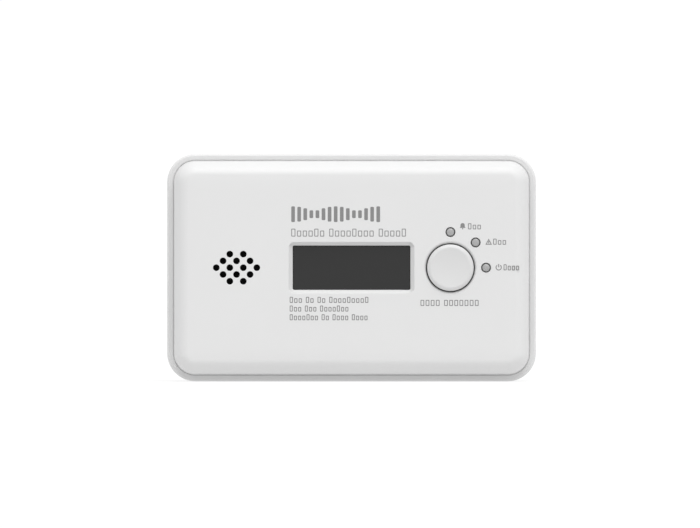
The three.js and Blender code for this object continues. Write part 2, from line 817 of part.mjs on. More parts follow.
/** The chip on the back of the board with legs on its four sides. */
function microcontroller() {
  const side = 10;
  const legs = 8;
  const legPitch = 1.1;
  const foot = boardRearFootY;
  const x = 6;
  const z = midZ - 8;
  const bodyDepth = [foot + 0.25, foot + 1.5];
  const body = box([x - side / 2, x + side / 2], bodyDepth, [z - side / 2, z + side / 2]);
  const reach = side / 2 + 1;
  const legDepth = [foot, foot + 0.55];
  const root = side / 2 - overlap;
  const across = (centre, offset) => [centre + offset - 0.2, centre + offset + 0.2];
  const allLegs = Array.from({ length: legs }, (_, i) => {
    const offset = (i - (legs - 1) / 2) * legPitch;
    return [
      box(across(x, offset), legDepth, [z + root, z + reach]),
      box(across(x, offset), legDepth, [z - reach, z - root]),
      box([x + root, x + reach], legDepth, across(z, offset)),
      box([x - reach, x - root], legDepth, across(z, offset)),
    ];
  });
  return joined([body, ...allLegs.flat()]);
}

/** The sensor's metal can with a groove rolled below its rim. */
function sensorCan() {
  const foot = boardRearFootY;
  const groove = 0.5;
  const profile = [
    [0, foot],
    [sensorRadius - 0.5, foot],
    [sensorRadius, foot + 0.5],
    [sensorRadius, sensorCanEndY - 3],
    [sensorRadius - groove, sensorCanEndY - 2.5],
    [sensorRadius - groove, sensorCanEndY - 2],
    [sensorRadius, sensorCanEndY - 1.5],
    [sensorRadius, sensorCanEndY - 0.6],
    [sensorRadius - 0.6, sensorCanEndY],
    [0, sensorCanEndY],
  ];
  return turned(profile, sensorX, sensorZ, 28);
}

/** The filter cap over the sensor's gas inlet. */
function sensorCap() {
  const base = sensorCanEndY + gap;
  const inletRadius = 1.5;
  const profile = [
    [0, base],
    [sensorRadius - 1, base],
    [sensorRadius - 1, sensorCapEndY - 0.8],
    [sensorRadius - 1.8, sensorCapEndY],
    [inletRadius, sensorCapEndY],
    [inletRadius, sensorCapEndY - 1.2],
    [0, sensorCapEndY - 1.2],
  ];
  return turned(profile, sensorX, sensorZ, 24);
}

const partsBayX = -sensorX;

/** The drum-shaped coil that drives the horn. */
function hornCoil() {
  const foot = boardRearFootY;
  const drumRadius = 4.5;
  const windingRadius = 3.7;
  const cheek = 1.2;
  const top = foot + 8;
  const profile = [
    [0, foot],
    [drumRadius, foot],
    [drumRadius, foot + cheek],
    [windingRadius, foot + cheek],
    [windingRadius, top - cheek],
    [drumRadius, top - cheek],
    [drumRadius, top],
    [0, top],
  ];
  return turned(profile, partsBayX, sensorZ, 20);
}

/** The can capacitor, with its rolled groove near the foot. */
function capacitor() {
  const foot = boardRearFootY;
  const aboveCoil = 14;
  const radius = 4;
  const top = foot + 11.5;
  const edge = 0.4;
  const grooveY = foot + 1.6;
  const profile = [
    [0, foot],
    [radius - edge, foot],
    [radius, foot + edge],
    [radius, grooveY - edge],
    [radius - edge, grooveY],
    [radius, grooveY + edge],
    [radius, top - edge],
    [radius - edge, top],
    [0, top],
  ];
  return turned(profile, partsBayX, sensorZ + aboveCoil, 20);
}

// ---------------------------------------------------------------- screws

/** A pan-head screw whose head faces the back, with a cross recess. */
function screw({ x, z }, headY, headHeight, headRadius, shankRadius, tipY) {
  const topY = headY + headHeight;
  const profile = [
    [0, tipY],
    [screwTipRadius, tipY],
    [shankRadius, tipY + screwPoint],
    [shankRadius, headY],
    [headRadius, headY],
    [headRadius, headY + headEdge],
    [headRadius - headFlatInset, topY],
    [0, topY],
  ];
  const depth = [topY - crossDepth, topY + 1];
  const long = crossHalfLength;
  const thin = crossHalfWidth;
  const bars = [
    box([x - long, x + long], depth, [z - thin, z + thin]),
    box([x - thin, x + thin], depth, [z - long, z + long]),
  ];
  return cutBy(turned(profile, x, z, 12), bars);
}

function caseScrew(place) {
  const tipY = faceInnerY + casePilotFloor + caseTipClearance;
  return screw(place, screwSeatY + gap, screwHeadHeight, screwHeadRadius, screwShankRadius, tipY);
}

function boardScrew(place) {
  const tipY = faceInnerY + boardPilotFloor + boardTipClearance;
  return screw(place, boardRearFootY, boardHeadHeight, boardHeadRadius, boardShankRadius, tipY);
}

// ---------------------------------------------------------------- cells and contacts

const contactInset = 0.7;
const contactThickness = 0.4;
const contactFaceX = bayHalfWidth - contactInset;
const contactHalfHeight = 5.2;
const contactAboveFloor = 1.2;
const contactBelowLedge = 2.4;
const contactY = { from: bayFloorY + contactAboveFloor, to: ledgeY - contactBelowLedge };
const bumpHeight = 0.6;
const bumpTopRadius = 1.6;
const bumpFootRadius = 2.6;
const touchGap = 0.1; // left between a cell and what presses on it
const springRootRadius = 4.2;
const springTipRadius = 2.4;
const springTurns = 3.5;
const springWireRadius = 0.35;
const tabReach = 1.2; // how far a contact's tab stands out of the bay
const tabHalfHeight = 1.5;
const tabAboveFloor = 3;
const tabEndX = bayHalfWidth + bayWall + tabReach;
const tabY = bayFloorY + tabAboveFloor;
const leadRadius = 0.7;
const cellShift = contactFaceX - bumpHeight - touchGap - cellLength / 2;

/** A cell lying along X, moved towards the contact its raised end touches. */
function cell({ z, plusSide }) {
  const canEnd = cellLength - cellNubLength;
  const shoulder = 0.7;
  const profile = [
    [0, 0],
    [cellRadius - shoulder, 0],
    [cellRadius, shoulder],
    [cellRadius, canEnd - shoulder],
    [cellRadius - shoulder, canEnd],
    [cellNubRadius, canEnd],
    [cellNubRadius, cellLength - 0.3],
    [cellNubRadius - 0.3, cellLength],
    [0, cellLength],
  ];
  const geometry = new THREE.LatheGeometry(profile.map(([r, y]) => new THREE.Vector2(r, y)), 28);
  geometry.translate(0, -cellLength / 2, 0);
  geometry.rotateZ(plusSide > 0 ? -Math.PI / 2 : Math.PI / 2);
  geometry.translate(plusSide * cellShift, cellY, z);
  return solidOf(geometry);
}

/** The tongue that leads a contact out through the bay's side; `slack` widens it into its slot. */
function contactTab(side, z, slack = 0) {
  const span = mirrored(side, contactFaceX + contactThickness / 2, tabEndX + slack);
  const halfDepth = contactThickness / 2 + slack;
  const halfHeight = tabHalfHeight + slack;
  return box(span, [tabY - halfDepth, tabY + halfDepth], [z - halfHeight, z + halfHeight]);
}

function contactPlate(side, zLow, zHigh) {
  const span = mirrored(side, contactFaceX, contactFaceX + contactThickness);
  return box(span, [contactY.from, contactY.to], [zLow - contactHalfHeight, zHigh + contactHalfHeight]);
}

/** The raised dimple that meets a cell's nub. */
function contactBump(side, z) {
  const base = contactFaceX + contactThickness / 2;
  const length = bumpHeight + contactThickness / 2;
  const geometry = new THREE.CylinderGeometry(bumpTopRadius, bumpFootRadius, length, 20);
  geometry.rotateZ(side > 0 ? Math.PI / 2 : -Math.PI / 2);
  geometry.translate(side * (base - length / 2), cellY, z);
  return solidOf(geometry);
}

/** The conical spring that presses on a cell's flat end. */
function contactSpring(side, z) {
  const cellEndX = cellLength / 2 - cellShift;
  const stepsPerTurn = 12;
  const tipX = side * (cellEndX + springWireRadius + touchGap);
  const rootX = side * contactFaceX;
  const path = new ConicalCoil(rootX, tipX, springRootRadius, springTipRadius, springTurns, cellY, z);
  return wire(path, springWireRadius, springTurns * stepsPerTurn, 6);
}

function contactPositive() {
  const { z, plusSide } = cellRows[0];
  return joined([contactPlate(plusSide, z, z), contactBump(plusSide, z), contactTab(plusSide, z)]);
}

function contactNegative() {
  const { z, plusSide } = cellRows[2];
  return joined([contactPlate(-plusSide, z, z), contactSpring(-plusSide, z), contactTab(-plusSide, z)]);
}

/** One plate that joins the flat end of one cell to the raised end of the next. */
function contactBridge(side, springRow, bumpRow) {
  const low = Math.min(springRow.z, bumpRow.z);
  const high = Math.max(springRow.z, bumpRow.z);
  const plate = contactPlate(side, low, high);
  return joined([plate, contactSpring(side, springRow.z), contactBump(side, bumpRow.z)]);
}

/** A lead from a contact's tab round to the back of the board. */
function lead(side, z) {
  const startX = side * (tabEndX + leadRadius + gap);
  const path = new THREE.CatmullRomCurve3([
    new THREE.Vector3(startX, tabY, z),
    new THREE.Vector3(startX + side * 0.3, tabY - 1, z + 1.5),
    new THREE.Vector3(startX + side * 0.4, boardBackY + 3, z + 3.5),
    new THREE.Vector3(startX + side * 0.4, boardBackY + gap, z + 4),
  ]);
  return wire(path, leadRadius, 12, 8);
}

// ---------------------------------------------------------------- battery door

const labelZ = midZ - labelBelowMiddle;

/** A hinge barrel with a pin at each end, and the arm that joins it to the door. */
function doorBarrel(side) {
  const { from, to } = barrelSpan;
  const span = mirrored(side, from, to);
  const pinSpan = mirrored(side, from - pinLength, to + pinLength);
  const barrel = rodX(barrelRadius, span, hingeY, hingeZ, 24);
  const pin = rodX(pinRadius, pinSpan, hingeY, hingeZ, 16);
  const arm = box(span, [doorInnerY, hingeY + barrelArmDepth], [hingeZ, doorFootZ + overlap]);
  return joined([barrel, pin, arm]);
}

/** The two slots that free a springy tab at the door's top edge. */
function latchSlots() {
  const depth = [doorInnerY - 1, backY + 1];
  return [-1, 1].map((side) => {
    const span = mirrored(side, latchHalfWidth, latchHalfWidth + latchSlotWidth);
    return box(span, depth, [doorTopZ - latchLength, doorTopZ + 1]);
  });
}

/** Shallow grooves that give a thumb hold on the tab. */
function gripGrooves() {
  const axisAboveFace = 0.1;
  return Array.from({ length: gripCount }, (_, i) => {
    const z = doorTopZ - gripFromTop - i * gripPitch;
    return rodX(gripRadius, [-gripHalfLength, gripHalfLength], backY + axisAboveFace, z, 12);
  });
}

function batteryDoor() {
  const height = doorTopZ - doorFootZ;
  const middle = (doorTopZ + doorFootZ) / 2;
  const outline = roundedRect(2 * doorHalfWidth, height, doorCorner, 0, middle);
  const plate = slab(outline, [doorInnerY, backY]);
  const seatOutline = roundedRect(
    labelWidth + 2 * labelSeatMargin,
    labelHeight + 2 * labelSeatMargin,
    labelCorner + labelSeatMargin,
    0,
    labelZ,
  );
  const labelSeat = slab(seatOutline, [backY - labelSeatDepth, backY + 1]);
  const body = cutBy(plate, [labelSeat, ...latchSlots(), ...gripGrooves()]);
  return joined([body, doorBarrel(-1), doorBarrel(1)]);
}

function ratingLabel() {
  const outline = roundedRect(labelWidth, labelHeight, labelCorner, 0, labelZ);
  const underside = backY - labelSeatDepth + labelGlue;
  return slab(outline, [underside, underside + labelThickness], 4);
}

// ---------------------------------------------------------------- the assembly

const detector = new THREE.Group();
detector.name = "carbon_monoxide_detector";

function addPiece(name, solid, look) {
  const mesh = new THREE.Mesh(geometryOf(solid), new THREE.MeshStandardMaterial(look));
  mesh.name = name;
  detector.add(mesh);
}

addPiece("front_cover", frontCover(), looks.shell);
addPiece("rear_cover", rearCover(), looks.shell);

addPiece("display_lens", displayLens(), looks.smoke);
addPiece("lcd_panel", lcdPanel(), looks.glass);
addPiece("lcd_frame", lcdFrame(), looks.blackPlastic);
addPiece("lcd_connector_upper", lcdConnector(1), looks.rubber);
addPiece("lcd_connector_lower", lcdConnector(-1), looks.rubber);

addPiece("grille_mesh", grilleMesh(), looks.darkMesh);
addPiece("sounder_case", sounderCase(), looks.blackPlastic);
addPiece("piezo_disc", piezoDisc(), looks.brass);
addPiece("piezo_ceramic", piezoCeramic(), looks.ceramic);

addPiece("test_button", testButton(), looks.button);
addPiece("switch_body", switchBody(), looks.blackPlastic);
addPiece("switch_plunger", switchPlunger(), looks.blackPlastic);

const lampLooks = { alarm: looks.redLight, fault: looks.amberLight, power: looks.greenLight };
for (const [name, angle] of Object.entries(lightAngles)) {
  addPiece(`${name}_led`, lamp(angle), lampLooks[name]);
  addPiece(`${name}_light_pipe`, lightPipe(angle), looks.lens);
}

addPiece("circuit_board", circuitBoard(), looks.board);
addPiece("microcontroller", microcontroller(), looks.blackPlastic);
addPiece("co_sensor_can", sensorCan(), looks.can);
addPiece("co_sensor_cap", sensorCap(), looks.blackPlastic);
addPiece("horn_coil", hornCoil(), looks.rubber);
addPiece("capacitor", capacitor(), looks.sleeve);

cornerPlaces.forEach((place, i) => addPiece(`case_screw_${i + 1}`, caseScrew(place), looks.zinc));
boardScrewPlaces.forEach((place, i) => addPiece(`board_screw_${i + 1}`, boardScrew(place), looks.zinc));

for (const row of cellRows) {
  addPiece(row.name, cell(row), looks.cell);
}

const [upperRow, middleRow, lowerRow] = cellRows;
addPiece("contact_positive", contactPositive(), looks.steel);
addPiece("contact_negative", contactNegative(), looks.steel);
addPiece("contact_bridge_left", contactBridge(-1, upperRow, middleRow), looks.steel);
addPiece("contact_bridge_right", contactBridge(1, middleRow, lowerRow), looks.steel);
addPiece("lead_red", lead(1, upperRow.z), looks.redWire);
addPiece("lead_black", lead(-1, lowerRow.z), looks.blackWire);

addPiece("battery_door", batteryDoor(), looks.shell);
addPiece("rating_label", ratingLabel(), looks.paper);

export default detector;
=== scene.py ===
"""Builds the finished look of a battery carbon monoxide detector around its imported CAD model."""

import json
import math
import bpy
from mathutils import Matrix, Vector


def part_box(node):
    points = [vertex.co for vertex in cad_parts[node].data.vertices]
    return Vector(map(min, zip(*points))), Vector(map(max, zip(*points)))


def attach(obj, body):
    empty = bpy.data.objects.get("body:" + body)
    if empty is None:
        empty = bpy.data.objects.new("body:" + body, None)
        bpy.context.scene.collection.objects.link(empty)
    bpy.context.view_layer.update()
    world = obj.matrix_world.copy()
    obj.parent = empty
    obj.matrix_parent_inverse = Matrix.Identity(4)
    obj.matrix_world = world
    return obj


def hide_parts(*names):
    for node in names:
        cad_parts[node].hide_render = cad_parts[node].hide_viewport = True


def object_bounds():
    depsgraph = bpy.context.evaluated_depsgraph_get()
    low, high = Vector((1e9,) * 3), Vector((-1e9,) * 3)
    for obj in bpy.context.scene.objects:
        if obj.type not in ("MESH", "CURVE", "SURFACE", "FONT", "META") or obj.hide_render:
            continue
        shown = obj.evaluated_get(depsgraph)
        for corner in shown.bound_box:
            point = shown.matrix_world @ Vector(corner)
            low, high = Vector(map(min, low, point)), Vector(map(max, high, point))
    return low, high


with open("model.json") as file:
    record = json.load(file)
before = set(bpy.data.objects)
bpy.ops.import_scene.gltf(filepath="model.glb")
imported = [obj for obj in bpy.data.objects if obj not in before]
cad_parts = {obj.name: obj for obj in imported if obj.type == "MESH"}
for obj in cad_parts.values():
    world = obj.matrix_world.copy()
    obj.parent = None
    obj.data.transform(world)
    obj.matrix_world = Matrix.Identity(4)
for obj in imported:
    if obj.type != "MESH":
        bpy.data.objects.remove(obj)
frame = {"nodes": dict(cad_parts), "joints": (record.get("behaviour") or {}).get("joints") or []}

from types import SimpleNamespace

import bmesh
import bpy
from mathutils import Matrix, Vector

CAD_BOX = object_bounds()

bl_info = {
    "name": "Carbon monoxide detector",
    "version": (1, 0, 0),
    "blender": (4, 5, 0),
    "location": "3D View > Sidebar > Detector",
    "description": "Finished pieces, materials and studio for a battery carbon monoxide detector",
    "category": "Object",
}

MM = 0.001
HOUSING = "housing"
SMALLEST_EDGE = 1e-5  # millimetres; shorter edges are left over from a cut and are removed
FLAT_FACE_WEIGHT = 80  # how much large faces lead the even shading
OVERSHOOT = 1.0  # millimetres by which a cutter passes a surface, so that it leaves no skin


# ---------------------------------------------------------------- sizes and colours that can be changed


def length(name, description, millimetres):
    """A length that the panel shows in the scene's units."""
    return bpy.props.FloatProperty(
        name=name, description=description, default=millimetres * MM, unit="LENGTH", min=0.0, precision=5
    )


def colour(name, description, default):
    """A linear colour with a swatch in the panel."""
    return bpy.props.FloatVectorProperty(
        name=name, description=description, default=default, subtype="COLOR", size=3, min=0.0, max=1.0
    )


class DetectorSizes(bpy.types.PropertyGroup):
    """Sizes that the finished pieces add to the CAD model; the numbers here are in millimetres."""

    shell_wall: length("Shell wall", "Thickness of both covers", 2.0)
    seam: length("Seam", "Gap between the two covers", 0.3)
    rear_corner: length("Rear corner", "Corner radius of the rear cover", 9.2)
    rim_round: length("Rim rounding", "Rounding of the rear cover's front edge", 0.8)
    back_round: length("Back rounding", "Rounding of the rear cover's back edge", 2.0)
    edge_across: length("Soft edge across", "How far the soft edge reaches over the face", 4.7)
    edge_along: length("Soft edge along", "How deep the front cover's soft edge is", 7.0)
    crown: length("Crown", "How far the front cover's face falls away before its soft edge", 0.12)
    crown_across: length("Crown across", "How wide the falling border of the face is", 3.4)
    draft: length("Draft", "How much the front cover's sides lean in", 0.25)
    window_width: length("Window width", "Clear width of the display window", 38.2)
    window_height: length("Window height", "Clear height of the display window", 14.4)
    window_bow: length("Window bow", "How far the window's bevelled ends bulge", 0.55)
    button_radius: length("Button radius", "Radius of the test button's cap", 7.55)
    button_ring: length("Button ring", "Dark gap round the test button's cap", 0.32)
    button_dish: length("Button dish", "Depth of the test button's dished face", 0.5)
    lip: length("Lip", "Rounding of small holes at the surface", 0.14)


class DetectorColours(bpy.types.PropertyGroup):
    """Base colours of the finishes."""

    shell: colour("Covers", "White moulded covers", (0.648, 0.648, 0.648))
    button: colour("Button", "Test button", (0.6, 0.6, 0.6))
    window: colour("Window", "Smoked display window", (0.022, 0.022, 0.022))
    lens: colour("Indicator lens", "Indicator lenses when unlit", (0.33, 0.33, 0.33))
    ink: colour("Ink", "Grey printed marks", (0.2, 0.2, 0.2))
    sleeve: colour("Cell sleeve", "Printed sleeve of the cells", (0.02, 0.05, 0.09))


def sizes_in_mm():
    """The sizes in the panel, which Blender keeps in metres, as millimetres."""
    group = bpy.context.scene.detector_sizes
    values = {name: round(getattr(group, name) / MM, 4) for name in group.__annotations__}
    return SimpleNamespace(**values)


def chosen_colour(name):
    """One of the colours in the panel."""
    return tuple(getattr(bpy.context.scene.detector_colours, name))


# ---------------------------------------------------------------- meshes, built in millimetres


def node_box(name):
    """Lowest and highest corner of a CAD node in millimetres."""
    low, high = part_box(name)
    return low / MM, high / MM


def centre_of(name):
    """Centre of a CAD node in the front view, as (x, z) in millimetres."""
    low, high = node_box(name)
    return ((low.x + high.x) / 2, (low.z + high.z) / 2)


def mirrored(side, near, far):
    """The lower and higher X of a span between two distances from the middle, on one side of it."""
    return sorted((side * near, side * far))


def rounded_outline(width, height, radius, steps=16, centre=(0.0, 0.0)):
    """Points of a rounded rectangle in the front view, anticlockwise from its right-hand side."""
    points = []
    for side_x, side_z, start in ((1, 1, 0), (-1, 1, 90), (-1, -1, 180), (1, -1, 270)):
        corner_x = centre[0] + side_x * (width / 2 - radius)
        corner_z = centre[1] + side_z * (height / 2 - radius)
        for step in range(steps + 1):
            turn = math.radians(start + 90 * step / steps)
            points.append((corner_x + radius * math.cos(turn), corner_z + radius * math.sin(turn)))
    return points


def circle_outline(radius, centre, steps=64):
    """Points of a circle in the front view."""
    turns = [2 * math.pi * step / steps for step in range(steps)]
    return [(centre[0] + radius * math.cos(t), centre[1] + radius * math.sin(t)) for t in turns]


def skin(mesh, loops, capped=False):
    """Adds the faces between each loop of points and the next, and closes both ends if asked."""
    count = len(loops[0])
    for near, far in zip(loops, loops[1:]):
        for i in range(count):
            j = (i + 1) % count
            mesh.faces.new((near[i], near[j], far[j], far[i]))
    if capped:
        mesh.faces.new(loops[0])
        mesh.faces.new(loops[-1])
    bmesh.ops.recalc_face_normals(mesh, faces=mesh.faces)


def loft(rings):
    """A closed solid through outlines of equal length; each ring is (points, y)."""
    mesh = bmesh.new()
    loops = [[mesh.verts.new((x, y, z)) for x, z in points] for points, y in rings]
    skin(mesh, loops, capped=True)
    return mesh


def cylinder(radius, centre, start_y, end_y, steps):
    """A plain round bar along Y."""
    outline = circle_outline(radius, centre, steps)
    return loft([(outline, start_y), (outline, end_y)])


def revolve(profile, centre, segments=96):
    """A solid turned about a line along Y; the profile of (radius, y) starts and ends on the axis."""
    mesh = bmesh.new()
    rows = []
    for radius, y in profile:
        if radius == 0:
            rows.append([mesh.verts.new((centre[0], y, centre[1]))])
            continue
        rows.append([mesh.verts.new((x, y, z)) for x, z in circle_outline(radius, centre, segments)])
    for near, far in zip(rows, rows[1:]):
        for i in range(segments):
            j = (i + 1) % segments
            corners = [near[i % len(near)], near[j % len(near)], far[j % len(far)], far[i % len(far)]]
            mesh.faces.new(list(dict.fromkeys(corners)))
    bmesh.ops.recalc_face_normals(mesh, faces=mesh.faces)
    return mesh


def turned_ring(section, centre, segments=96):
    """A ring turned about a line along Y; the section is its closed outline of (radius, y)."""
    mesh = bmesh.new()
    loops = []
    for radius, y in section:
        loops.append([mesh.verts.new((x, y, z)) for x, z in circle_outline(radius, centre, segments)])
    skin(mesh, loops + loops[:1])
    return mesh


def quarter_arc(start, end, steps, bulge_first):
    """Points of a quarter ellipse from start to end; bulge_first keeps the first value the longer."""
    points = []
    for step in range(steps + 1):
        turn = math.pi / 2 * step / steps
        quick, slow = math.sin(turn), 1 - math.cos(turn)
        share_0, share_1 = (slow, quick) if bulge_first else (quick, slow)
        first = start[0] + (end[0] - start[0]) * share_0
        second = start[1] + (end[1] - start[1]) * share_1
        points.append((first, second))
    return points


def block(low, high):
    """A plain box between two corners, used for cutting and joining."""
    outline = [(low[0], low[2]), (high[0], low[2]), (high[0], high[2]), (low[0], high[2])]
    return loft([(outline, low[1]), (outline, high[1])])


def soft_block(low, high, radius, steps=3):
    """A box with every edge rounded."""
    mesh = block(low, high)
    bmesh.ops.bevel(
        mesh,
        geom=mesh.edges[:],
        offset=radius,
        segments=steps,
        profile=0.5,
        affect="EDGES",
        clamp_overlap=True,
    )
    return mesh


def rod_along_x(radius, low_x, high_x, y, z, segments=48, edge=0.12):
    """A round bar along X with softened ends."""
    profile = [
        (0, low_x),
        (radius - edge, low_x),
        (radius, low_x + edge),
        (radius, high_x - edge),
        (radius - edge, high_x),
        (0, high_x),
    ]
    mesh = revolve(profile, (0, 0), segments)
    mesh.transform(Matrix.Translation((0, y, z)) @ Matrix.Rotation(-math.pi / 2, 4, "Z"))
    return mesh


def hole(outline_of, face_y, end_y, lip, lip_depth=None):
    """A cutter for a hole with a rounded lip at face_y; outline_of gives its outline, grown."""
    inward = 1 if end_y > face_y else -1
    depth = inward * (lip if lip_depth is None else lip_depth)
    lip_steps = 6
    rings = [(outline_of(lip), face_y - inward * OVERSHOOT)]
    for step in range(lip_steps + 1):
        turn = math.pi / 2 * step / lip_steps
        rings.append((outline_of(lip * (1 - math.sin(turn))), face_y + depth * (1 - math.cos(turn))))
    rings.append((outline_of(0), end_y))
    return loft(rings)


def round_hole(radius, centre, face_y, end_y, lip, steps=48, lip_depth=None):
    """A cutter for a round hole with a rounded lip."""

    def outline(grow):
        return circle_outline(radius + grow, centre, steps)

    return hole(outline, face_y, end_y, lip, lip_depth)


def merged(parts):
    """Several separate closed shapes as one mesh."""
    whole = bmesh.new()
    for part in parts:
        holder = bpy.data.meshes.new("holder")
        part.to_mesh(holder)
        part.free()
        whole.from_mesh(holder)
        bpy.data.meshes.remove(holder)
    return whole


def combined(base, steps):
    """Joins shapes to a base and cuts shapes from it; each step is (operation, mesh)."""
    made = []

    def holder(mesh):
        data = bpy.data.meshes.new("holder")
        mesh.to_mesh(data)
        mesh.free()
        thing = bpy.data.objects.new("holder", data)
        bpy.context.scene.collection.objects.link(thing)
        made.append(thing)
        return thing

    target = holder(base)
    for operation, mesh in steps:
        modifier = target.modifiers.new(operation, "BOOLEAN")
        modifier.operation = operation
        modifier.solver = "EXACT"
        modifier.object = holder(mesh)
    evaluated = target.evaluated_get(bpy.context.evaluated_depsgraph_get())
    result = bmesh.new()
    result.from_mesh(evaluated.to_mesh())
    evaluated.to_mesh_clear()
    for thing in made:
        data = thing.data
        bpy.data.objects.remove(thing)
        bpy.data.meshes.remove(data)
    bmesh.ops.dissolve_degenerate(result, dist=SMALLEST_EDGE, edges=result.edges)
    return result


def add_piece(name, mesh, materials, body=HOUSING, stands_for=(), crease=32, even=True):
    """Puts a mesh made in millimetres into the scene as a piece that rides on a CAD body."""
    data = bpy.data.meshes.new(name)
    mesh.to_mesh(data)
    mesh.free()
    data.transform(Matrix.Scale(MM, 4))
    for material in materials:
        data.materials.append(material)
    data.shade_smooth()
    data.set_sharp_from_angle(angle=math.radians(crease))
    piece = bpy.data.objects.new(name, data)
    bpy.context.scene.collection.objects.link(piece)
    if even:
        normals = piece.modifiers.new("even shading", "WEIGHTED_NORMAL")
        normals.keep_sharp = True
        normals.weight = FLAT_FACE_WEIGHT
    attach(piece, body)
    if stands_for:
        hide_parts(*stands_for)
    return piece


# ---------------------------------------------------------------- materials


class Recipe:
    """A node material built step by step around one Principled shader."""

    def __init__(self, name):
        """Starts a material whose patterns lie in the object's own space."""
        self.material = bpy.data.materials.new(name)
        self.material.use_nodes = True
        self.tree = self.material.node_tree
        self.shader = self.tree.nodes["Principled BSDF"]
        self.place = self.tree.nodes.new("ShaderNodeTexCoord").outputs["Object"]

    def node(self, kind, **values):
        """A new node with some of its settings."""
        made = self.tree.nodes.new(kind)
        for key, value in values.items():
            setattr(made, key, value)
        return made

    def link(self, output, socket):
        """Joins one node's output to another's input."""
        self.tree.links.new(output, socket)

    def noise(self, size_mm, detail=2.0, stretch=None):
        """Noise whose features are about size_mm across, stretched along an axis if asked."""
        texture = self.node("ShaderNodeTexNoise")
        texture.inputs["Scale"].default_value = 1 / (size_mm * MM)
        texture.inputs["Detail"].default_value = detail
        source = self.place
        if stretch:
            mapping = self.node("ShaderNodeMapping")
            mapping.inputs["Scale"].default_value = stretch
            self.link(source, mapping.inputs["Vector"])
            source = mapping.outputs["Vector"]
        self.link(source, texture.inputs["Vector"])
        return texture.outputs["Fac"]

    def tone(self, base, drift, size_mm):
        """Base colour that drifts a little lighter and darker."""
        mix = self.node("ShaderNodeMix", data_type="RGBA")
        mix.inputs["A"].default_value = (*[c * (1 - drift) for c in base], 1)
        mix.inputs["B"].default_value = (*[min(1, c * (1 + drift)) for c in base], 1)
        self.link(self.noise(size_mm), mix.inputs["Factor"])
        self.link(mix.outputs["Result"], self.shader.inputs["Base Color"])

    def gloss(self, low, high, size_mm, stretch=None):
        """Roughness that varies between two values."""
        spread = self.node("ShaderNodeMapRange")
        usual_noise = (0.3, 0.7)
        spread.inputs["From Min"].default_value = usual_noise[0]
        spread.inputs["From Max"].default_value = usual_noise[1]
        spread.inputs["To Min"].default_value = low
        spread.inputs["To Max"].default_value = high
        self.link(self.noise(size_mm, detail=3.0, stretch=stretch), spread.inputs["Value"])
        self.link(spread.outputs["Result"], self.shader.inputs["Roughness"])

    def grain(self, height_mm, size_mm, strength=1.0, stretch=None):
        """A fine relief of the given height and feature size."""
        bump = self.node("ShaderNodeBump")
        bump.inputs["Strength"].default_value = strength
        bump.inputs["Distance"].default_value = height_mm * MM
        self.link(self.noise(size_mm, detail=3.0, stretch=stretch), bump.inputs["Height"])
        self.link(bump.outputs["Normal"], self.shader.inputs["Normal"])


def once(build):
    """Keeps one copy of each material."""
    kept = {}

    def ask(*values):
        if values not in kept:
            kept[values] = build(*values)
        return kept[values]

    return ask


@once
def moulded_plastic(name, base, low_gloss, high_gloss):
    """Moulded plastic with the fine eroded texture of its tool."""
    recipe = Recipe(name)
    recipe.tone(base, drift=0.012, size_mm=18)
    recipe.gloss(low_gloss, high_gloss, size_mm=2.5)
    recipe.grain(height_mm=0.006, size_mm=0.28, strength=0.5)
    recipe.shader.inputs["Specular IOR Level"].default_value = 0.4
    return recipe.material


@once
def polished_plastic(name, base):
    """Polished plastic with faint handling marks."""
    recipe = Recipe(name)
    recipe.tone(base, drift=0.03, size_mm=9)
    recipe.gloss(0.16, 0.24, size_mm=3.0)
    recipe.grain(height_mm=0.001, size_mm=1.4, strength=0.4)
    recipe.shader.inputs["Specular IOR Level"].default_value = 0.3
    return recipe.material


@once
def frosted_lens(name, base):
    """Clear plastic with a frosted, cloudy body."""
    recipe = Recipe(name)
    recipe.tone(base, drift=0.08, size_mm=0.9)
    recipe.gloss(0.22, 0.36, size_mm=0.6)
    recipe.grain(height_mm=0.004, size_mm=0.3, strength=0.5)
    recipe.shader.inputs["Coat Weight"].default_value = 0.4
    recipe.shader.inputs["Coat Roughness"].default_value = 0.12
    return recipe.material


@once
def drawn_metal(name, base, low_gloss, high_gloss):
    """Plated or drawn metal with fine streaks."""
    recipe = Recipe(name)
    recipe.tone(base, drift=0.05, size_mm=1.2)
    recipe.gloss(low_gloss, high_gloss, size_mm=0.5, stretch=(1, 6, 6))
    recipe.grain(height_mm=0.003, size_mm=0.25, strength=0.5, stretch=(1, 5, 5))
    recipe.shader.inputs["Metallic"].default_value = 1.0
    return recipe.material


@once
def printed_ink(name, base):
    """Pad-printed ink, a little uneven in density."""
    recipe = Recipe(name)
    recipe.tone(base, drift=0.07, size_mm=0.35)
    recipe.gloss(0.45, 0.6, size_mm=0.5)
    return recipe.material


@once
def matt_rubber(name, base):
    """Rubber or cured resin with a dull, pitted skin."""
    recipe = Recipe(name)
    recipe.tone(base, drift=0.12, size_mm=1.5)
    recipe.gloss(0.6, 0.8, size_mm=0.8)
    recipe.grain(height_mm=0.01, size_mm=0.4, strength=0.6)
    return recipe.material


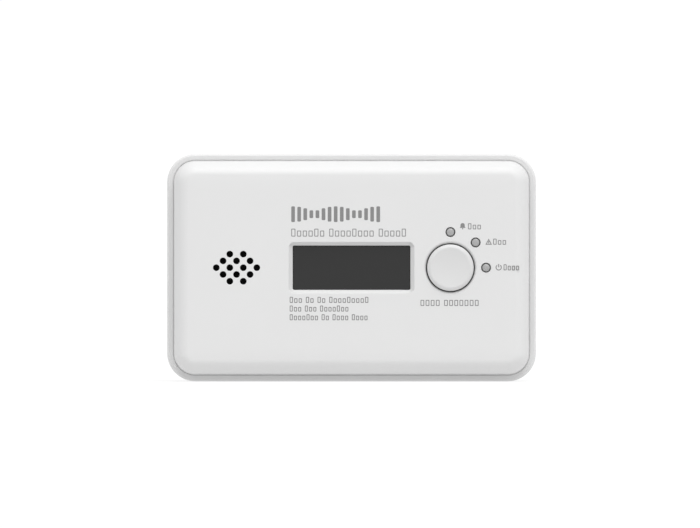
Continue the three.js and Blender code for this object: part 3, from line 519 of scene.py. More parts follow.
@once
def woven_mesh(name, base):
    """Dust cloth: two crossed sets of threads."""
    thread_scale = 900
    gap_shade = 0.3
    recipe = Recipe(name)
    threads = []
    for direction in ("X", "Z"):
        wave = recipe.node("ShaderNodeTexWave", wave_type="BANDS", bands_direction=direction)
        wave.inputs["Scale"].default_value = thread_scale
        recipe.link(recipe.place, wave.inputs["Vector"])
        threads.append(wave.outputs["Fac"])
    weave = recipe.node("ShaderNodeMath", operation="MAXIMUM")
    recipe.link(threads[0], weave.inputs[0])
    recipe.link(threads[1], weave.inputs[1])
    shade = recipe.node("ShaderNodeMix", data_type="RGBA")
    shade.inputs["A"].default_value = (*[c * gap_shade for c in base], 1)
    shade.inputs["B"].default_value = (*base, 1)
    recipe.link(weave.outputs["Value"], shade.inputs["Factor"])
    recipe.link(shade.outputs["Result"], recipe.shader.inputs["Base Color"])
    recipe.shader.inputs["Roughness"].default_value = 0.95
    recipe.shader.inputs["Specular IOR Level"].default_value = 0.1
    return recipe.material


@once
def solder_mask(name, base):
    """Circuit board lacquer over faint tracks."""
    track_scale = 260
    track_width = 0.12
    track_gain = 1.5
    recipe = Recipe(name)
    tracks = recipe.node("ShaderNodeTexVoronoi", feature="DISTANCE_TO_EDGE")
    tracks.inputs["Scale"].default_value = track_scale
    recipe.link(recipe.place, tracks.inputs["Vector"])
    edge = recipe.node("ShaderNodeMapRange")
    edge.inputs["From Max"].default_value = track_width
    recipe.link(tracks.outputs["Distance"], edge.inputs["Value"])
    mix = recipe.node("ShaderNodeMix", data_type="RGBA")
    mix.inputs["A"].default_value = (*[c * track_gain for c in base], 1)
    mix.inputs["B"].default_value = (*base, 1)
    recipe.link(edge.outputs["Result"], mix.inputs["Factor"])
    recipe.link(mix.outputs["Result"], recipe.shader.inputs["Base Color"])
    recipe.gloss(0.3, 0.42, size_mm=3.0)
    return recipe.material


@once
def label_film(name, base):
    """Satin label film."""
    recipe = Recipe(name)
    recipe.tone(base, drift=0.02, size_mm=6)
    recipe.gloss(0.4, 0.5, size_mm=1.5)
    recipe.grain(height_mm=0.002, size_mm=0.5, strength=0.4)
    return recipe.material


def shell_plastic():
    """The white plastic of both covers and the battery door."""
    return moulded_plastic("shell_plastic", chosen_colour("shell"), 0.42, 0.5)


# ---------------------------------------------------------------- covers

FACE_THICKNESS = 2.2
SCREW_BORE_RADIUS = 1.7
CASE_SCREWS = [f"case_screw_{number}" for number in (1, 2, 3, 4)]


def cover_outline(inset):
    """The case's outline, drawn in by inset."""
    smallest_corner = 0.3
    low, high = node_box("rear_cover")
    width = high.x - low.x - 2 * inset
    height = high.z - low.z - 2 * inset
    corner = max(sizes_in_mm().rear_corner - inset, smallest_corner)
    return rounded_outline(width, height, corner, 16, centre_of("rear_cover"))


def cover_rings(profile):
    """Rings of the case's outline for a list of (inset, y)."""
    return [(cover_outline(inset), y) for inset, y in profile]


def window_outline(width, height, radius, bow=0.0):
    """A rounded rectangle round the display lens, whose two ends bulge outwards by bow."""
    centre_z = centre_of("display_lens")[1]
    points = []
    for x, z in rounded_outline(width, height, radius, 8):
        bulge = bow * (1 - (2 * z / height) ** 2)
        points.append((x + math.copysign(bulge, x), z + centre_z))
    return points


def window_cutter(face_y, inner_y):
    """The display window: a bevelled surround that narrows to the clear opening."""
    sizes = sizes_in_mm()
    surround_width = sizes.window_width + 2.0
    surround_height = sizes.window_height + 2.1
    surround_corner = 1.6
    opening_corner = 0.5
    lens_proud = 0.05
    lip = 0.18
    lip_steps = 4

    def surround(grow):
        width, height = surround_width + grow, surround_height + grow
        return window_outline(width, height, surround_corner, sizes.window_bow)

    rings = [(surround(2 * lip), face_y - OVERSHOOT)]
    for step in range(lip_steps + 1):
        turn = math.pi / 2 * step / lip_steps
        rings.append((surround(2 * lip * (1 - math.sin(turn))), face_y + lip * (1 - math.cos(turn))))
    opening = window_outline(sizes.window_width, sizes.window_height, opening_corner)
    rings.append((opening, node_box("display_lens")[0].y + lens_proud))
    rings.append((opening, inner_y + OVERSHOOT))
    return loft(rings)


def light_places():
    """Centre of each indicator's light pipe at the face."""
    return {name: centre_of(f"{name}_light_pipe") for name in ("alarm", "fault", "power")}


def grille_places():
    """Centres of the sound holes, in rows of two, three, four, three and two."""
    pitch_x, pitch_z = 4.38, 2.2
    counts = (2, 3, 4, 3, 2)
    middle_x, middle_z = centre_of("grille_mesh")
    places = []
    for row, count in enumerate(counts):
        z = middle_z + (row - len(counts) // 2) * pitch_z
        places += [(middle_x + (i - (count - 1) / 2) * pitch_x, z) for i in range(count)]
    return places


def front_shell(face_y, inner_face, foot_y):
    """The front cover's wall: a slightly crowned face, a soft edge and a tongue inside the rear cover."""
    sizes = sizes_in_mm()
    crown_steps = 6
    seam_depth = 0.16
    tongue_gap = 0.05
    inner_edge_across, inner_edge_along = 4.4, 5.0
    side = sizes.shell_wall + sizes.seam
    leaned = side + sizes.draft
    soft_start = leaned + sizes.edge_across
    profile = []
    for step in range(crown_steps):
        share = step / crown_steps
        profile.append((soft_start + sizes.crown_across * (1 - share), face_y + sizes.crown * share**2))
    soft_end = (leaned, face_y + sizes.edge_along)
    profile += quarter_arc((soft_start, face_y + sizes.crown), soft_end, 18, False)
    rim_y = node_box("rear_cover")[0].y
    seam_y = rim_y + seam_depth
    tongue = sizes.shell_wall + tongue_gap
    profile += [(side, rim_y), (side, seam_y), (tongue, seam_y), (tongue, foot_y)]
    inner = side + sizes.shell_wall
    profile.append((inner, foot_y))
    inner_start = (inner, inner_face + inner_edge_along)
    profile += quarter_arc(inner_start, (inner + inner_edge_across, inner_face), 8, True)
    return loft(cover_rings(profile))


def front_cutters(face_y, inner_face, foot_y):
    """The window and the holes for the button, the lights, the sound and the case screws."""
    sizes = sizes_in_mm()
    button_lip, button_lip_depth = 0.9, 1.3
    light_radius, sound_radius = 1.6, 1.08
    bore_floor = 2.3
    reach = inner_face + OVERSHOOT
    bore_span = (inner_face + bore_floor, foot_y + OVERSHOOT)
    button_hole = sizes.button_radius + sizes.button_ring
    cutters = [window_cutter(face_y, inner_face)]
    cutters.append(
        round_hole(button_hole, centre_of("test_button"), face_y, reach, button_lip, 96, button_lip_depth)
    )
    for centre in light_places().values():
        cutters.append(round_hole(light_radius, centre, face_y, reach, sizes.lip))
    for centre in grille_places():
        cutters.append(round_hole(sound_radius, centre, face_y, reach, sizes.lip, 32))
    for screw in CASE_SCREWS:
        cutters.append(cylinder(SCREW_BORE_RADIUS, centre_of(screw), *bore_span, 32))
    return merged(cutters)


def front_bosses(inner_face, foot_y):
    """The four posts that the case screws bite into."""
    boss_radius = 3.6
    sunk = 0.4
    span = (inner_face - sunk, foot_y)
    return merged([cylinder(boss_radius, centre_of(screw), *span, 32) for screw in CASE_SCREWS])


class DETECTOR_OT_front_cover(bpy.types.Operator):
    """Front cover: a soft-edged shell with its window, button hole, light holes and sound holes"""

    bl_idname = "detector.front_cover"
    bl_label = "Front cover"

    def execute(self, context):
        low, high = node_box("front_cover")
        face_y, foot_y = low.y, high.y
        inner_face = face_y + FACE_THICKNESS
        steps = [
            ("UNION", front_bosses(inner_face, foot_y)),
            ("DIFFERENCE", front_cutters(face_y, inner_face, foot_y)),
        ]
        carved = combined(front_shell(face_y, inner_face, foot_y), steps)
        add_piece("front_cover_shell", carved, [shell_plastic()], stands_for=["front_cover"])
        return {"FINISHED"}


def cell_bay():
    """The space that holds the three cells."""
    room_above, room_behind = 0.75, 0.35
    lowest, highest = node_box("cell_lower")[0], node_box("cell_upper")[1]
    return SimpleNamespace(
        half_width=29.6,
        low_z=lowest.z - room_above,
        high_z=highest.z + room_above,
        floor_y=lowest.y - room_behind,
    )


def door_hinge():
    """The battery door's hinge point in millimetres."""
    for joint in frame["joints"]:
        if joint["name"] == "battery_door_hinge":
            return Vector(joint["pos_m"]) / MM
    raise RuntimeError("the packed model has no battery_door_hinge")


def rear_shell(rim_y, back_y):
    """The rear cover's wall, with a rounded back edge and a rounded rim."""
    sizes = sizes_in_mm()
    wall, back_round = sizes.shell_wall, sizes.back_round
    flat_margin = 0.4
    lead_in = 0.12
    profile = [(back_round + flat_margin, back_y)]
    profile += quarter_arc((back_round, back_y), (0, back_y - back_round), 8, False)
    profile += quarter_arc((0, rim_y + sizes.rim_round), (sizes.rim_round, rim_y), 6, True)
    profile += [(wall - lead_in, rim_y), (wall, rim_y + lead_in), (wall, back_y - wall)]
    return loft(cover_rings(profile))


def cell_tub(back_y):
    """The solid round the cell bay."""
    side_wall, floor_wall = 1.5, 1.3
    bay = cell_bay()
    low = (-bay.half_width - side_wall, bay.floor_y - floor_wall, bay.low_z - side_wall)
    high = (bay.half_width + side_wall, back_y - OVERSHOOT, bay.high_z + side_wall)
    return soft_block(low, high, radius=0.8)


def door_ledge(back_y):
    """The solid round the recess that the battery door lies in."""
    border = 1.5
    thickness = 2.4
    below_hinge = 3.2
    low, high = node_box("battery_door")
    front_y = back_y - sizes_in_mm().shell_wall - thickness
    foot_z = door_hinge().z - below_hinge
    far_corner = (high.x + border, back_y - OVERSHOOT, high.z + border)
    return block((low.x - border, front_y, foot_z), far_corner)


def screw_columns(rim_y, back_y):
    """The four columns that the case screws pass through."""
    column_radius = 4
    below_rim = 2.8
    spans = (rim_y + below_rim, back_y - OVERSHOOT)
    return merged([cylinder(column_radius, centre_of(screw), *spans, 40) for screw in CASE_SCREWS])


def screw_bores(rim_y, back_y):
    """A counterbore and a bore for each case screw."""
    counterbore_radius = 3.1
    head_height = 2.3
    overlap = 0.5
    cutters = []
    for screw in CASE_SCREWS:
        centre = centre_of(screw)
        seat_y = node_box(screw)[1].y - head_height
        cutters.append(round_hole(counterbore_radius, centre, back_y, seat_y, lip=0.3))
        cutters.append(cylinder(SCREW_BORE_RADIUS, centre, rim_y, seat_y + overlap, 32))
    return cutters


def keyhole_outline(centre, head_radius, slot_radius, rise, grow):
    """A round hole with a slot above it, in one line."""
    head = head_radius + grow
    slot = slot_radius + grow
    meet = math.asin(slot / head)
    head_steps, slot_steps = 40, 16
    start, end = math.pi / 2 + meet, 5 * math.pi / 2 - meet
    points = []
    for step in range(head_steps + 1):
        turn = start + (end - start) * step / head_steps
        points.append((centre[0] + head * math.cos(turn), centre[1] + head * math.sin(turn)))
    for step in range(slot_steps + 1):
        turn = math.pi * step / slot_steps
        points.append((centre[0] + slot * math.cos(turn), centre[1] + rise + slot * math.sin(turn)))
    return points


def keyholes(back_y, end_y):
    """The two keyholes that hang the detector on a wall."""
    beside_bay, above_middle = 14.4, 11
    head_radius, slot_radius, rise = 4.25, 2.1, 7
    lip = 0.2
    middle_z = centre_of("rear_cover")[1]
    cutters = []
    for side in (-1, 1):
        centre = (side * (cell_bay().half_width + beside_bay), middle_z + above_middle)

        def outline(grow, centre=centre):
            return keyhole_outline(centre, head_radius, slot_radius, rise, grow)

        cutters.append(hole(outline, back_y, end_y, lip))
    return cutters


def vents(back_y, end_y):
    """Breathing slots beside the sensor, in pairs through the back and the side of the rear cover."""
    count, pitch = 5, 4
    slot_length, slot_width, slot_corner = 10, 1.6, 0.79
    side_slot_y = 7
    lip = 0.2
    vent_x, vent_z = centre_of("co_sensor_can")
    side_x = node_box("rear_cover")[1].x

    def slot_at(centre):
        def outline(grow):
            width, height = slot_length + 2 * grow, slot_width + 2 * grow
            return rounded_outline(width, height, slot_corner + grow, 8, centre)

        return outline

    cutters = []
    for i in range(count):
        z = vent_z + (i - count // 2) * pitch
        cutters.append(hole(slot_at((vent_x, z)), back_y, end_y, lip))
        side_end = side_x - sizes_in_mm().shell_wall - OVERSHOOT
        side_slot = hole(slot_at((side_slot_y, 0)), side_x, side_end, lip)
        side_slot.transform(Matrix.Translation((0, 0, z)) @ Matrix.Rotation(math.pi / 2, 4, "Z"))
        cutters.append(side_slot)
    return cutters


def bay_cutter(back_y):
    """The cell bay itself."""
    corner = 1.0
    above_ledge = 1.5
    bay = cell_bay()
    centre = (0, (bay.low_z + bay.high_z) / 2)
    outline = rounded_outline(2 * bay.half_width, bay.high_z - bay.low_z, corner, 8, centre)
    return loft([(outline, bay.floor_y), (outline, back_y - above_ledge)])


def door_recess():
    """Half width, foot and top of the recess for the battery door."""
    gap = 0.3
    foot_above_hinge = 1.2
    high = node_box("battery_door")[1]
    return high.x + gap, door_hinge().z + foot_above_hinge, high.z + gap


def recess_cutter(back_y):
    """The recess for the battery door."""
    depth = 2.0
    corner = 1.8
    half_width, foot, top = door_recess()

    def outline(grow):
        centre = (0, (foot + top) / 2)
        return rounded_outline(2 * (half_width + grow), top - foot + 2 * grow, corner + grow, 10, centre)

    return hole(outline, back_y, back_y - depth, lip=0.12)


def hinge_pockets(back_y):
    """Room for the door's two hinge barrels."""
    near, far = 13.7, 22.3
    in_front, below, into_recess = 1.5, 1.7, 0.5
    hinge = door_hinge()
    foot = door_recess()[1]
    pockets = []
    for side in (-1, 1):
        start, end = mirrored(side, near, far)
        low = (start, hinge.y - in_front, hinge.z - below)
        pockets.append(block(low, (end, back_y + OVERSHOOT, foot + into_recess)))
    return merged(pockets)


def hinge_sockets():
    """Round sockets for the ends of the door's hinge pins."""
    near, far, radius = 12.3, 23.7, 0.7
    hinge = door_hinge()
    spans = [mirrored(side, near, far) for side in (-1, 1)]
    return merged([rod_along_x(radius, *span, hinge.y, hinge.z, 32, edge=0.05) for span in spans])


def contact_slots():
    """Slots through the bay's end walls for the tabs of the two end contacts."""
    inside, outside = 0.6, 2
    above_floor, thickness, half_height = 2.5, 1.0, 1.8
    bay = cell_bay()
    slots = []
    for side, cell in ((1, "cell_upper"), (-1, "cell_lower")):
        z = centre_of(cell)[1]
        start, end = mirrored(side, bay.half_width - inside, bay.half_width + outside)
        near_y = bay.floor_y + above_floor
        slots.append(block((start, near_y, z - half_height), (end, near_y + thickness, z + half_height)))
    return merged(slots)


def bay_ribs():
    """The two ribs between the cells."""
    from_middle, from_end = 7.6, 8
    sunk, rise, half_thickness, edge = 0.6, 3.5, 0.5, 0.2
    bay = cell_bay()
    middle_z = centre_of("rear_cover")[1]
    reach = bay.half_width - from_end
    ribs = []
    for z in (middle_z - from_middle, middle_z + from_middle):
        low = (-reach, bay.floor_y - sunk, z - half_thickness)
        ribs.append(soft_block(low, (reach, bay.floor_y + rise, z + half_thickness), edge))
    return merged(ribs)


class DETECTOR_OT_rear_cover(bpy.types.Operator):
    """Rear cover: the shell with its rim, cell bay, door recess, keyholes, vents and screw columns"""

    bl_idname = "detector.rear_cover"
    bl_label = "Rear cover"

    def execute(self, context):
        low, high = node_box("rear_cover")
        rim_y, back_y = low.y, high.y
        holes_end = back_y - sizes_in_mm().shell_wall - OVERSHOOT
        holes = screw_bores(rim_y, back_y) + keyholes(back_y, holes_end) + vents(back_y, holes_end)
        steps = [
            ("UNION", cell_tub(back_y)),
            ("UNION", door_ledge(back_y)),
            ("UNION", screw_columns(rim_y, back_y)),
            ("DIFFERENCE", bay_cutter(back_y)),
            ("DIFFERENCE", recess_cutter(back_y)),
            ("DIFFERENCE", merged(holes)),
            ("DIFFERENCE", hinge_pockets(back_y)),
            ("DIFFERENCE", hinge_sockets()),
            ("DIFFERENCE", contact_slots()),
            ("UNION", bay_ribs()),
        ]
        carved = combined(rear_shell(rim_y, back_y), steps)
        add_piece("rear_cover_shell", carved, [shell_plastic()], stands_for=["rear_cover"])
        return {"FINISHED"}


# ---------------------------------------------------------------- display, button, lights, grille


class DETECTOR_OT_display_window(bpy.types.Operator):
    """Display window: the smoked lens with its raised island and flange"""

    bl_idname = "detector.display_window"
    bl_label = "Display window"

    def execute(self, context):
        sizes = sizes_in_mm()
        gap = 0.24
        edge = 0.15
        flat_margin = 0.6
        flange_thickness, flange_corner = 1.2, 1.0
        flat_corner, island_corner = 0.3, 0.45
        low, high = node_box("display_lens")
        flange_y = high.y - flange_thickness
        width, height = sizes.window_width - gap, sizes.window_height - gap
        flat = 2 * edge + flat_margin
        rings = [(window_outline(width - flat, height - flat, flat_corner), low.y)]
        for inset, y in quarter_arc((edge, low.y), (0, low.y + edge), 4, False):
            rings.append((window_outline(width - 2 * inset, height - 2 * inset, island_corner), y))
        rings.append((window_outline(width, height, island_corner), flange_y))
        flange = window_outline(high.x - low.x, high.z - low.z, flange_corner)
        rings += [(flange, flange_y), (flange, high.y)]
        lens = loft(rings)
        material = polished_plastic("smoked_window", chosen_colour("window"))
        add_piece("display_window_lens", lens, [material], stands_for=["display_lens"])
        return {"FINISHED"}


def button_cap(low, high):
    """The dished cap, its rounded rim, its flange and its post."""
    sizes = sizes_in_mm()
    radius = sizes.button_radius
    rim_width = 1.1
    arc_width, arc_depth = 1.9, 1.0
    flange_depth, flange_thickness = 3.5, 1
    edge = 0.1
    post_radius, post_edge = 2.2, 0.2
    dish_steps = 24
    dish_radius = radius - rim_width
    profile = []
    for step in range(dish_steps + 1):
        share = step / dish_steps
        profile.append((dish_radius * share, low.y + sizes.button_dish * (1 - share**2)))
    crest_depth = arc_depth * (1 - math.sqrt(1 - (1 - rim_width / arc_width) ** 2))
    arc_front = low.y - crest_depth
    rim = quarter_arc((radius - arc_width, arc_front), (radius, arc_front + arc_depth), 24, False)
    profile += [(r, y) for r, y in rim if r > dish_radius + 0.05]
    front, back = low.y + flange_depth, low.y + flange_depth + flange_thickness
    flange_radius = (high.x - low.x) / 2
    profile += [(radius, front), (flange_radius - edge, front), (flange_radius, front + edge)]
    profile += [(flange_radius, back - edge), (flange_radius - edge, back), (post_radius + edge, back)]
    profile += [(post_radius, high.y - post_edge), (post_radius - post_edge, high.y), (0, high.y)]
    return revolve(profile, centre_of("test_button"), 128)


def gap_shade_ring(low):
    """A near-black ring deep in the gap round the cap: painted shade that darkens the gap."""
    sizes = sizes_in_mm()
    depth, thickness, edge = 2.2, 0.7, 0.08
    inner = sizes.button_radius + 0.01
    outer = sizes.button_radius + sizes.button_ring - 0.03
    front, back = low.y + depth, low.y + depth + thickness
    section = [(inner, front), (outer - edge, front), (outer, front + edge), (outer, back), (inner, back)]
    return turned_ring(section, centre_of("test_button"), 128)


class DETECTOR_OT_test_button(bpy.types.Operator):
    """Test button: a cap with a rounded rim round a dished face, and a near-black ring in the gap round
    it that is painted shade
    """

    bl_idname = "detector.test_button"
    bl_label = "Test button"

    def execute(self, context):
        low, high = node_box("test_button")
        plastic = moulded_plastic("button_plastic", chosen_colour("button"), 0.36, 0.44)
        # Near-black matt material for the ring in the gap round the cap: painted shade that darkens the
        # gap.
        rubber_and_gap_shade = matt_rubber("seal_rubber", (0.02, 0.02, 0.02))
        cap = button_cap(low, high)
        add_piece("test_button_cap", cap, [plastic], "test_button", ["test_button"])
        # This ring is painted shade in the gap round the cap.
        add_piece("test_button_seal", gap_shade_ring(low), [rubber_and_gap_shade], "test_button")
        return {"FINISHED"}


def crown_turns(steps):
    """Angles from the top of a crown down to its edge."""
    return [math.pi / 2 * step / steps for step in range(steps + 1)]


def light_peg(name):
    """One light pipe: a crowned end, a straight shaft and a collar."""
    radius, crown_height = 1.23, 0.42
    collar_from_end, collar_thickness = 3.1, 0.8
    low, high = node_box(name)
    front = high.y - collar_from_end
    back = front + collar_thickness
    collar_radius = (high.x - low.x) / 2
    profile = [(radius * math.sin(t), low.y + crown_height * (1 - math.cos(t))) for t in crown_turns(10)]
    profile += [(radius, front), (collar_radius, front), (collar_radius, back)]
    profile += [(radius, back), (radius, high.y), (0, high.y)]
    return revolve(profile, centre_of(name), 48)


class DETECTOR_OT_indicator_lights(bpy.types.Operator):
    """Indicator lights: the frosted pegs that show the three lamps at the front"""

    bl_idname = "detector.indicator_lights"
    bl_label = "Indicator lights"

    def execute(self, context):
        material = frosted_lens("indicator_lens", chosen_colour("lens"))
        for name in light_places():
            pipe = f"{name}_light_pipe"
            peg = light_peg(pipe)
            add_piece(f"{name}_indicator", peg, [material], stands_for=[pipe])
        return {"FINISHED"}


class DETECTOR_OT_grille_cloth(bpy.types.Operator):
    """Grille cloth: the dark dust mesh behind the sound holes"""

    bl_idname = "detector.grille_cloth"
    bl_label = "Grille cloth"

    def execute(self, context):
        edge = 0.08
        low, high = node_box("grille_mesh")
        radius = (high.x - low.x) / 2
        profile = [(0, low.y), (radius - edge, low.y), (radius, low.y + edge), (radius, high.y - edge)]
        profile += [(radius - edge, high.y), (0, high.y)]
        cloth = revolve(profile, centre_of("grille_mesh"), 64)
        material = woven_mesh("dust_cloth", (0.006, 0.006, 0.006))
        add_piece("grille_cloth", cloth, [material], stands_for=["grille_mesh"])
        return {"FINISHED"}


# ---------------------------------------------------------------- printed marks

INK_THICKNESS = 0.02
INK_LIFT = 0.002
SMALL_PRINT = 1.95
TITLE_PRINT = 2.55
SYMBOL_EDGE = 0.03


def ink_shape(points, face_y):
    """A thin printed shape on a surface that faces forwards."""
    return loft([(points, face_y - INK_THICKNESS), (points, face_y - INK_LIFT)])


def ink_ring(outer, inner, face_y, outwards=-1):
    """A thin printed band between two outlines; outwards is which way along Y its surface faces."""
    near, far = face_y + outwards * INK_LIFT, face_y + outwards * INK_THICKNESS
    mesh = bmesh.new()
    loops = []
    for points, y in ((outer, near), (outer, far), (inner, far), (inner, near)):
        loops.append([mesh.verts.new((x, y, z)) for x, z in points])
    skin(mesh, loops + loops[:1])
    return mesh


def bar(x, z, width, height, face_y, radius):
    """A rounded bar whose lower left corner is at (x, z)."""
    radius = min(radius, width / 2.01, height / 2.01)
    return ink_shape(rounded_outline(width, height, radius, 3, (x + width / 2, z + height / 2)), face_y)


def arc_band(centre, radius, thickness, start, end, face_y, steps=32):
    """Part of a ring between two angles in degrees."""
    outer, inner = [], []
    for step in range(steps + 1):
        turn = math.radians(start + (end - start) * step / steps)
        for points, reach in ((outer, radius), (inner, radius - thickness)):
            points.append((centre[0] + reach * math.cos(turn), centre[1] + reach * math.sin(turn)))
    return ink_shape(outer + inner[::-1], face_y)


def blank_line(start_x, width, z, height, face_y, words, capitals=False):
    """A letterless stand-in for a printed line; words lists how many empty boxes each word has."""
    word_space = 0.6
    box_share = 0.72
    low_share = 0.76
    tall_every = 4
    stroke = 0.26
    outer_corner, inner_corner = 0.2, 0.05
    pitch = width / (sum(words) + word_space * (len(words) - 1))
    box_width = box_share * pitch
    boxes = []
    x = start_x
    for count in words:
        for i in range(count):
            tall = capitals or i % tall_every == 0
            box_height = height if tall else low_share * height
            middle = (x + box_width / 2, z + box_height / 2)
            outer = rounded_outline(box_width, box_height, outer_corner, 2, middle)
            inner_size = (box_width - 2 * stroke, box_height - 2 * stroke)
            inner = rounded_outline(*inner_size, inner_corner, 2, middle)
            boxes.append(ink_ring(outer, inner, face_y))
            x += pitch
        x += word_space * pitch
    return boxes


def bell_mark(x, z, size, face_y):
    """A bell for the alarm light: a domed body that flares at its foot, and a clapper."""
    steps = 16
    middle = x + 0.5 * size
    turns = [math.pi * step / steps for step in range(steps + 1)]
    body = [(middle + 0.33 * size * math.cos(t), z + (0.66 + 0.3 * math.sin(t)) * size) for t in turns]
    for across, up in ((-0.34, 0.36), (-0.46, 0.22), (0.46, 0.22), (0.34, 0.36)):
        body.append((middle + across * size, z + up * size))
    clapper = circle_outline(0.1 * size, (middle, z + 0.09 * size), 16)
    return [ink_shape(body, face_y), ink_shape(clapper, face_y)]


def triangle_mark(x, z, size, face_y):
    """A triangle with a stroke in it for the fault light."""
    stroke = 0.14 * size
    inner_share = 0.58
    centre_x, centre_z = x + size / 2, z + 0.32 * size
    outer = [(x, z), (x + size, z), (centre_x, z + 0.95 * size)]
    inner = []
    for corner_x, corner_z in outer:
        inner_x = centre_x + (corner_x - centre_x) * inner_share
        inner.append((inner_x, centre_z + (corner_z - centre_z) * inner_share))
    upright = bar(centre_x - stroke / 2, z + 0.2 * size, stroke, 0.36 * size, face_y, SYMBOL_EDGE)
    return [ink_ring(outer, inner, face_y), upright]


def power_mark(x, z, size, face_y):
    """A ring that is open at the top, with an upright stroke, for the power light."""
    stroke = 0.15 * size
    opening = 35
    centre = (x + size / 2, z + size / 2)
    band = arc_band(centre, size / 2, stroke, 90 + opening, 450 - opening, face_y)
    return [band, bar(centre[0] - stroke / 2, centre[1], stroke, 0.55 * size, face_y, SYMBOL_EDGE)]


def level_mark(start_x, width, z, height, face_y):
    """A row of upright bars that swell and shrink like a sound level."""
    count = 15
    bar_share = 0.6
    swell_period = 7
    lowest = 0.35
    corner = 0.3
    pitch = width / (count - 1 + bar_share)
    bars = []
    for i in range(count):
        swell = abs(math.cos(math.pi * (i - (count - 1) / 2) / swell_period))
        tall = height * (lowest + (1 - lowest) * swell)
        foot = z + (height - tall) / 2
        bars.append(bar(start_x + i * pitch, foot, bar_share * pitch, tall, face_y, corner))
    return bars


def note_marks(left, middle_z, face_y):
    """The three lines under the window."""
    below_middle, line_pitch = 11.4, 2.82
    lines = ((25.9, (3, 2, 2, 9)), (19.4, (3, 3, 7)), (25.6, (7, 2, 4, 4)))
    shapes = []
    for line, (width, words) in enumerate(lines):
        z = middle_z - below_middle - line_pitch * line
        shapes += blank_line(left, width, z, SMALL_PRINT, face_y, words)
    return shapes


def light_marks(face_y):
    """A symbol and a blank word beside each indicator light."""
    word_offset = 5.7
    symbols = {
        "alarm": {"draw": bell_mark, "beside": 2.9, "rise": 0.9, "size": 2.1},
        "fault": {"draw": triangle_mark, "beside": 3.2, "rise": -0.7, "size": 2.1},
        "power": {"draw": power_mark, "beside": 3.1, "rise": -0.9, "size": 2.0},
    }
    words = {
        "alarm": {"rise": 0.9, "width": 4.6, "boxes": 3},
        "fault": {"rise": -0.7, "width": 4.6, "boxes": 3},
        "power": {"rise": -0.85, "width": 5.4, "boxes": 4},
    }
    marks = {}
    for light, (x, z) in light_places().items():
        symbol, word = symbols[light], words[light]
        shapes = symbol["draw"](x + symbol["beside"], z + symbol["rise"], symbol["size"], face_y)
        place = (x + word_offset, word["width"], z + word["rise"])
        shapes += blank_line(*place, SMALL_PRINT, face_y, (word["boxes"],))
        marks[f"{light}_mark"] = shapes
    return marks


def test_mark(face_y):
    """The blank line under the test button."""
    left_of_button, width, below_button = 9.7, 19.3, 12.4
    x, z = centre_of("test_button")
    return blank_line(x - left_of_button, width, z - below_button, SMALL_PRINT, face_y, (4, 7), True)


class DETECTOR_OT_printed_marks(bpy.types.Operator):
    """Printed marks: symbols by the lights and letterless stand-ins for the printed lines"""

    bl_idname = "detector.printed_marks"
    bl_label = "Printed marks"

    def execute(self, context):
        inside_lens = 2.15
        notes_further_left = 0.5
        level_width, level_above, level_height = 28.8, 14.8, 5.1
        title_width, title_above = 37.7, 10.1
        face_y = node_box("front_cover")[0].y
        left = node_box("display_lens")[0].x + inside_lens
        middle_z = centre_of("display_lens")[1]
        title_z = middle_z + title_above
        material = printed_ink("grey_ink", chosen_colour("ink"))
        marks = {
            "level_mark": level_mark(left, level_width, middle_z + level_above, level_height, face_y),
            "title_mark": blank_line(left, title_width, title_z, TITLE_PRINT, face_y, (6, 8, 5)),
            "note_marks": note_marks(left - notes_further_left, middle_z, face_y),
            **light_marks(face_y),
            "test_mark": test_mark(face_y),
        }
        for name, shapes in marks.items():
            add_piece(name, merged(shapes), [material], even=False)
        return {"FINISHED"}


# ---------------------------------------------------------------- battery door


def door_plate(low, high):
    """The door's flat plate with a softened outer edge, the Y of its inner face and the Z of its foot."""
    thickness, corner = 1.7, 1.5
    foot_above_hinge = 1.9
    inner_edge, outer_edge = 0.1, 0.3
    foot_z = door_hinge().z + foot_above_hinge
    centre = (0, (high.z + foot_z) / 2)
    outer_y, inner_y = high.y, high.y - thickness

    def outline(inset):
        width, height = high.x - low.x - 2 * inset, high.z - foot_z - 2 * inset
        return rounded_outline(width, height, corner - inset, 10, centre)

    rings = [(outline(inner_edge), inner_y), (outline(0), inner_y + inner_edge)]
    for inset, y in quarter_arc((0, outer_y - outer_edge), (outer_edge, outer_y), 5, True):
        rings.append((outline(inset), y))
    rings.append((outline(2 * outer_edge), outer_y))
    return loft(rings), inner_y, foot_z


def label_outline(inset, corner):
    """The label's outline, drawn in by inset."""
    low, high = node_box("rating_label")
    width, height = high.x - low.x - 2 * inset, high.z - low.z - 2 * inset
    return rounded_outline(width, height, corner, 8, centre_of("rating_label"))


def door_cutters(inner_y, outer_y, top_z):
    """The label's seat, the slots beside the snap tab, its grip grooves and an arrow."""
    seat_gap, seat_corner, seat_depth = 0.3, 1.3, 0.45
    slot_near, slot_far, slot_length = 6, 6.8, 8.5
    groove_drops, groove_radius, groove_reach, groove_proud = (2.0, 3.6, 5.2), 0.5, 4.2, 0.1
    arrow_half_width, arrow_top, arrow_tip, arrow_depth = 1.5, 10.3, 12.5, 0.25

    def seat(grow):
        return label_outline(-seat_gap - grow, seat_corner + grow)

    cutters = [hole(seat, outer_y, outer_y - seat_depth, lip=0.1)]
    for side in (-1, 1):
        start, end = mirrored(side, slot_near, slot_far)
        low = (start, inner_y - OVERSHOOT, top_z - slot_length)
        cutters.append(block(low, (end, outer_y + OVERSHOOT, top_z + OVERSHOOT)))
    for drop in groove_drops:
        y, z = outer_y + groove_proud, top_z - drop
        cutters.append(rod_along_x(groove_radius, -groove_reach, groove_reach, y, z, 32, edge=0.2))
    arrow = [(x, top_z - arrow_top) for x in (-arrow_half_width, arrow_half_width)]
    arrow.append((0, top_z - arrow_tip))
    cutters.append(loft([(arrow, outer_y - arrow_depth), (arrow, outer_y + OVERSHOOT)]))
    return merged(cutters)


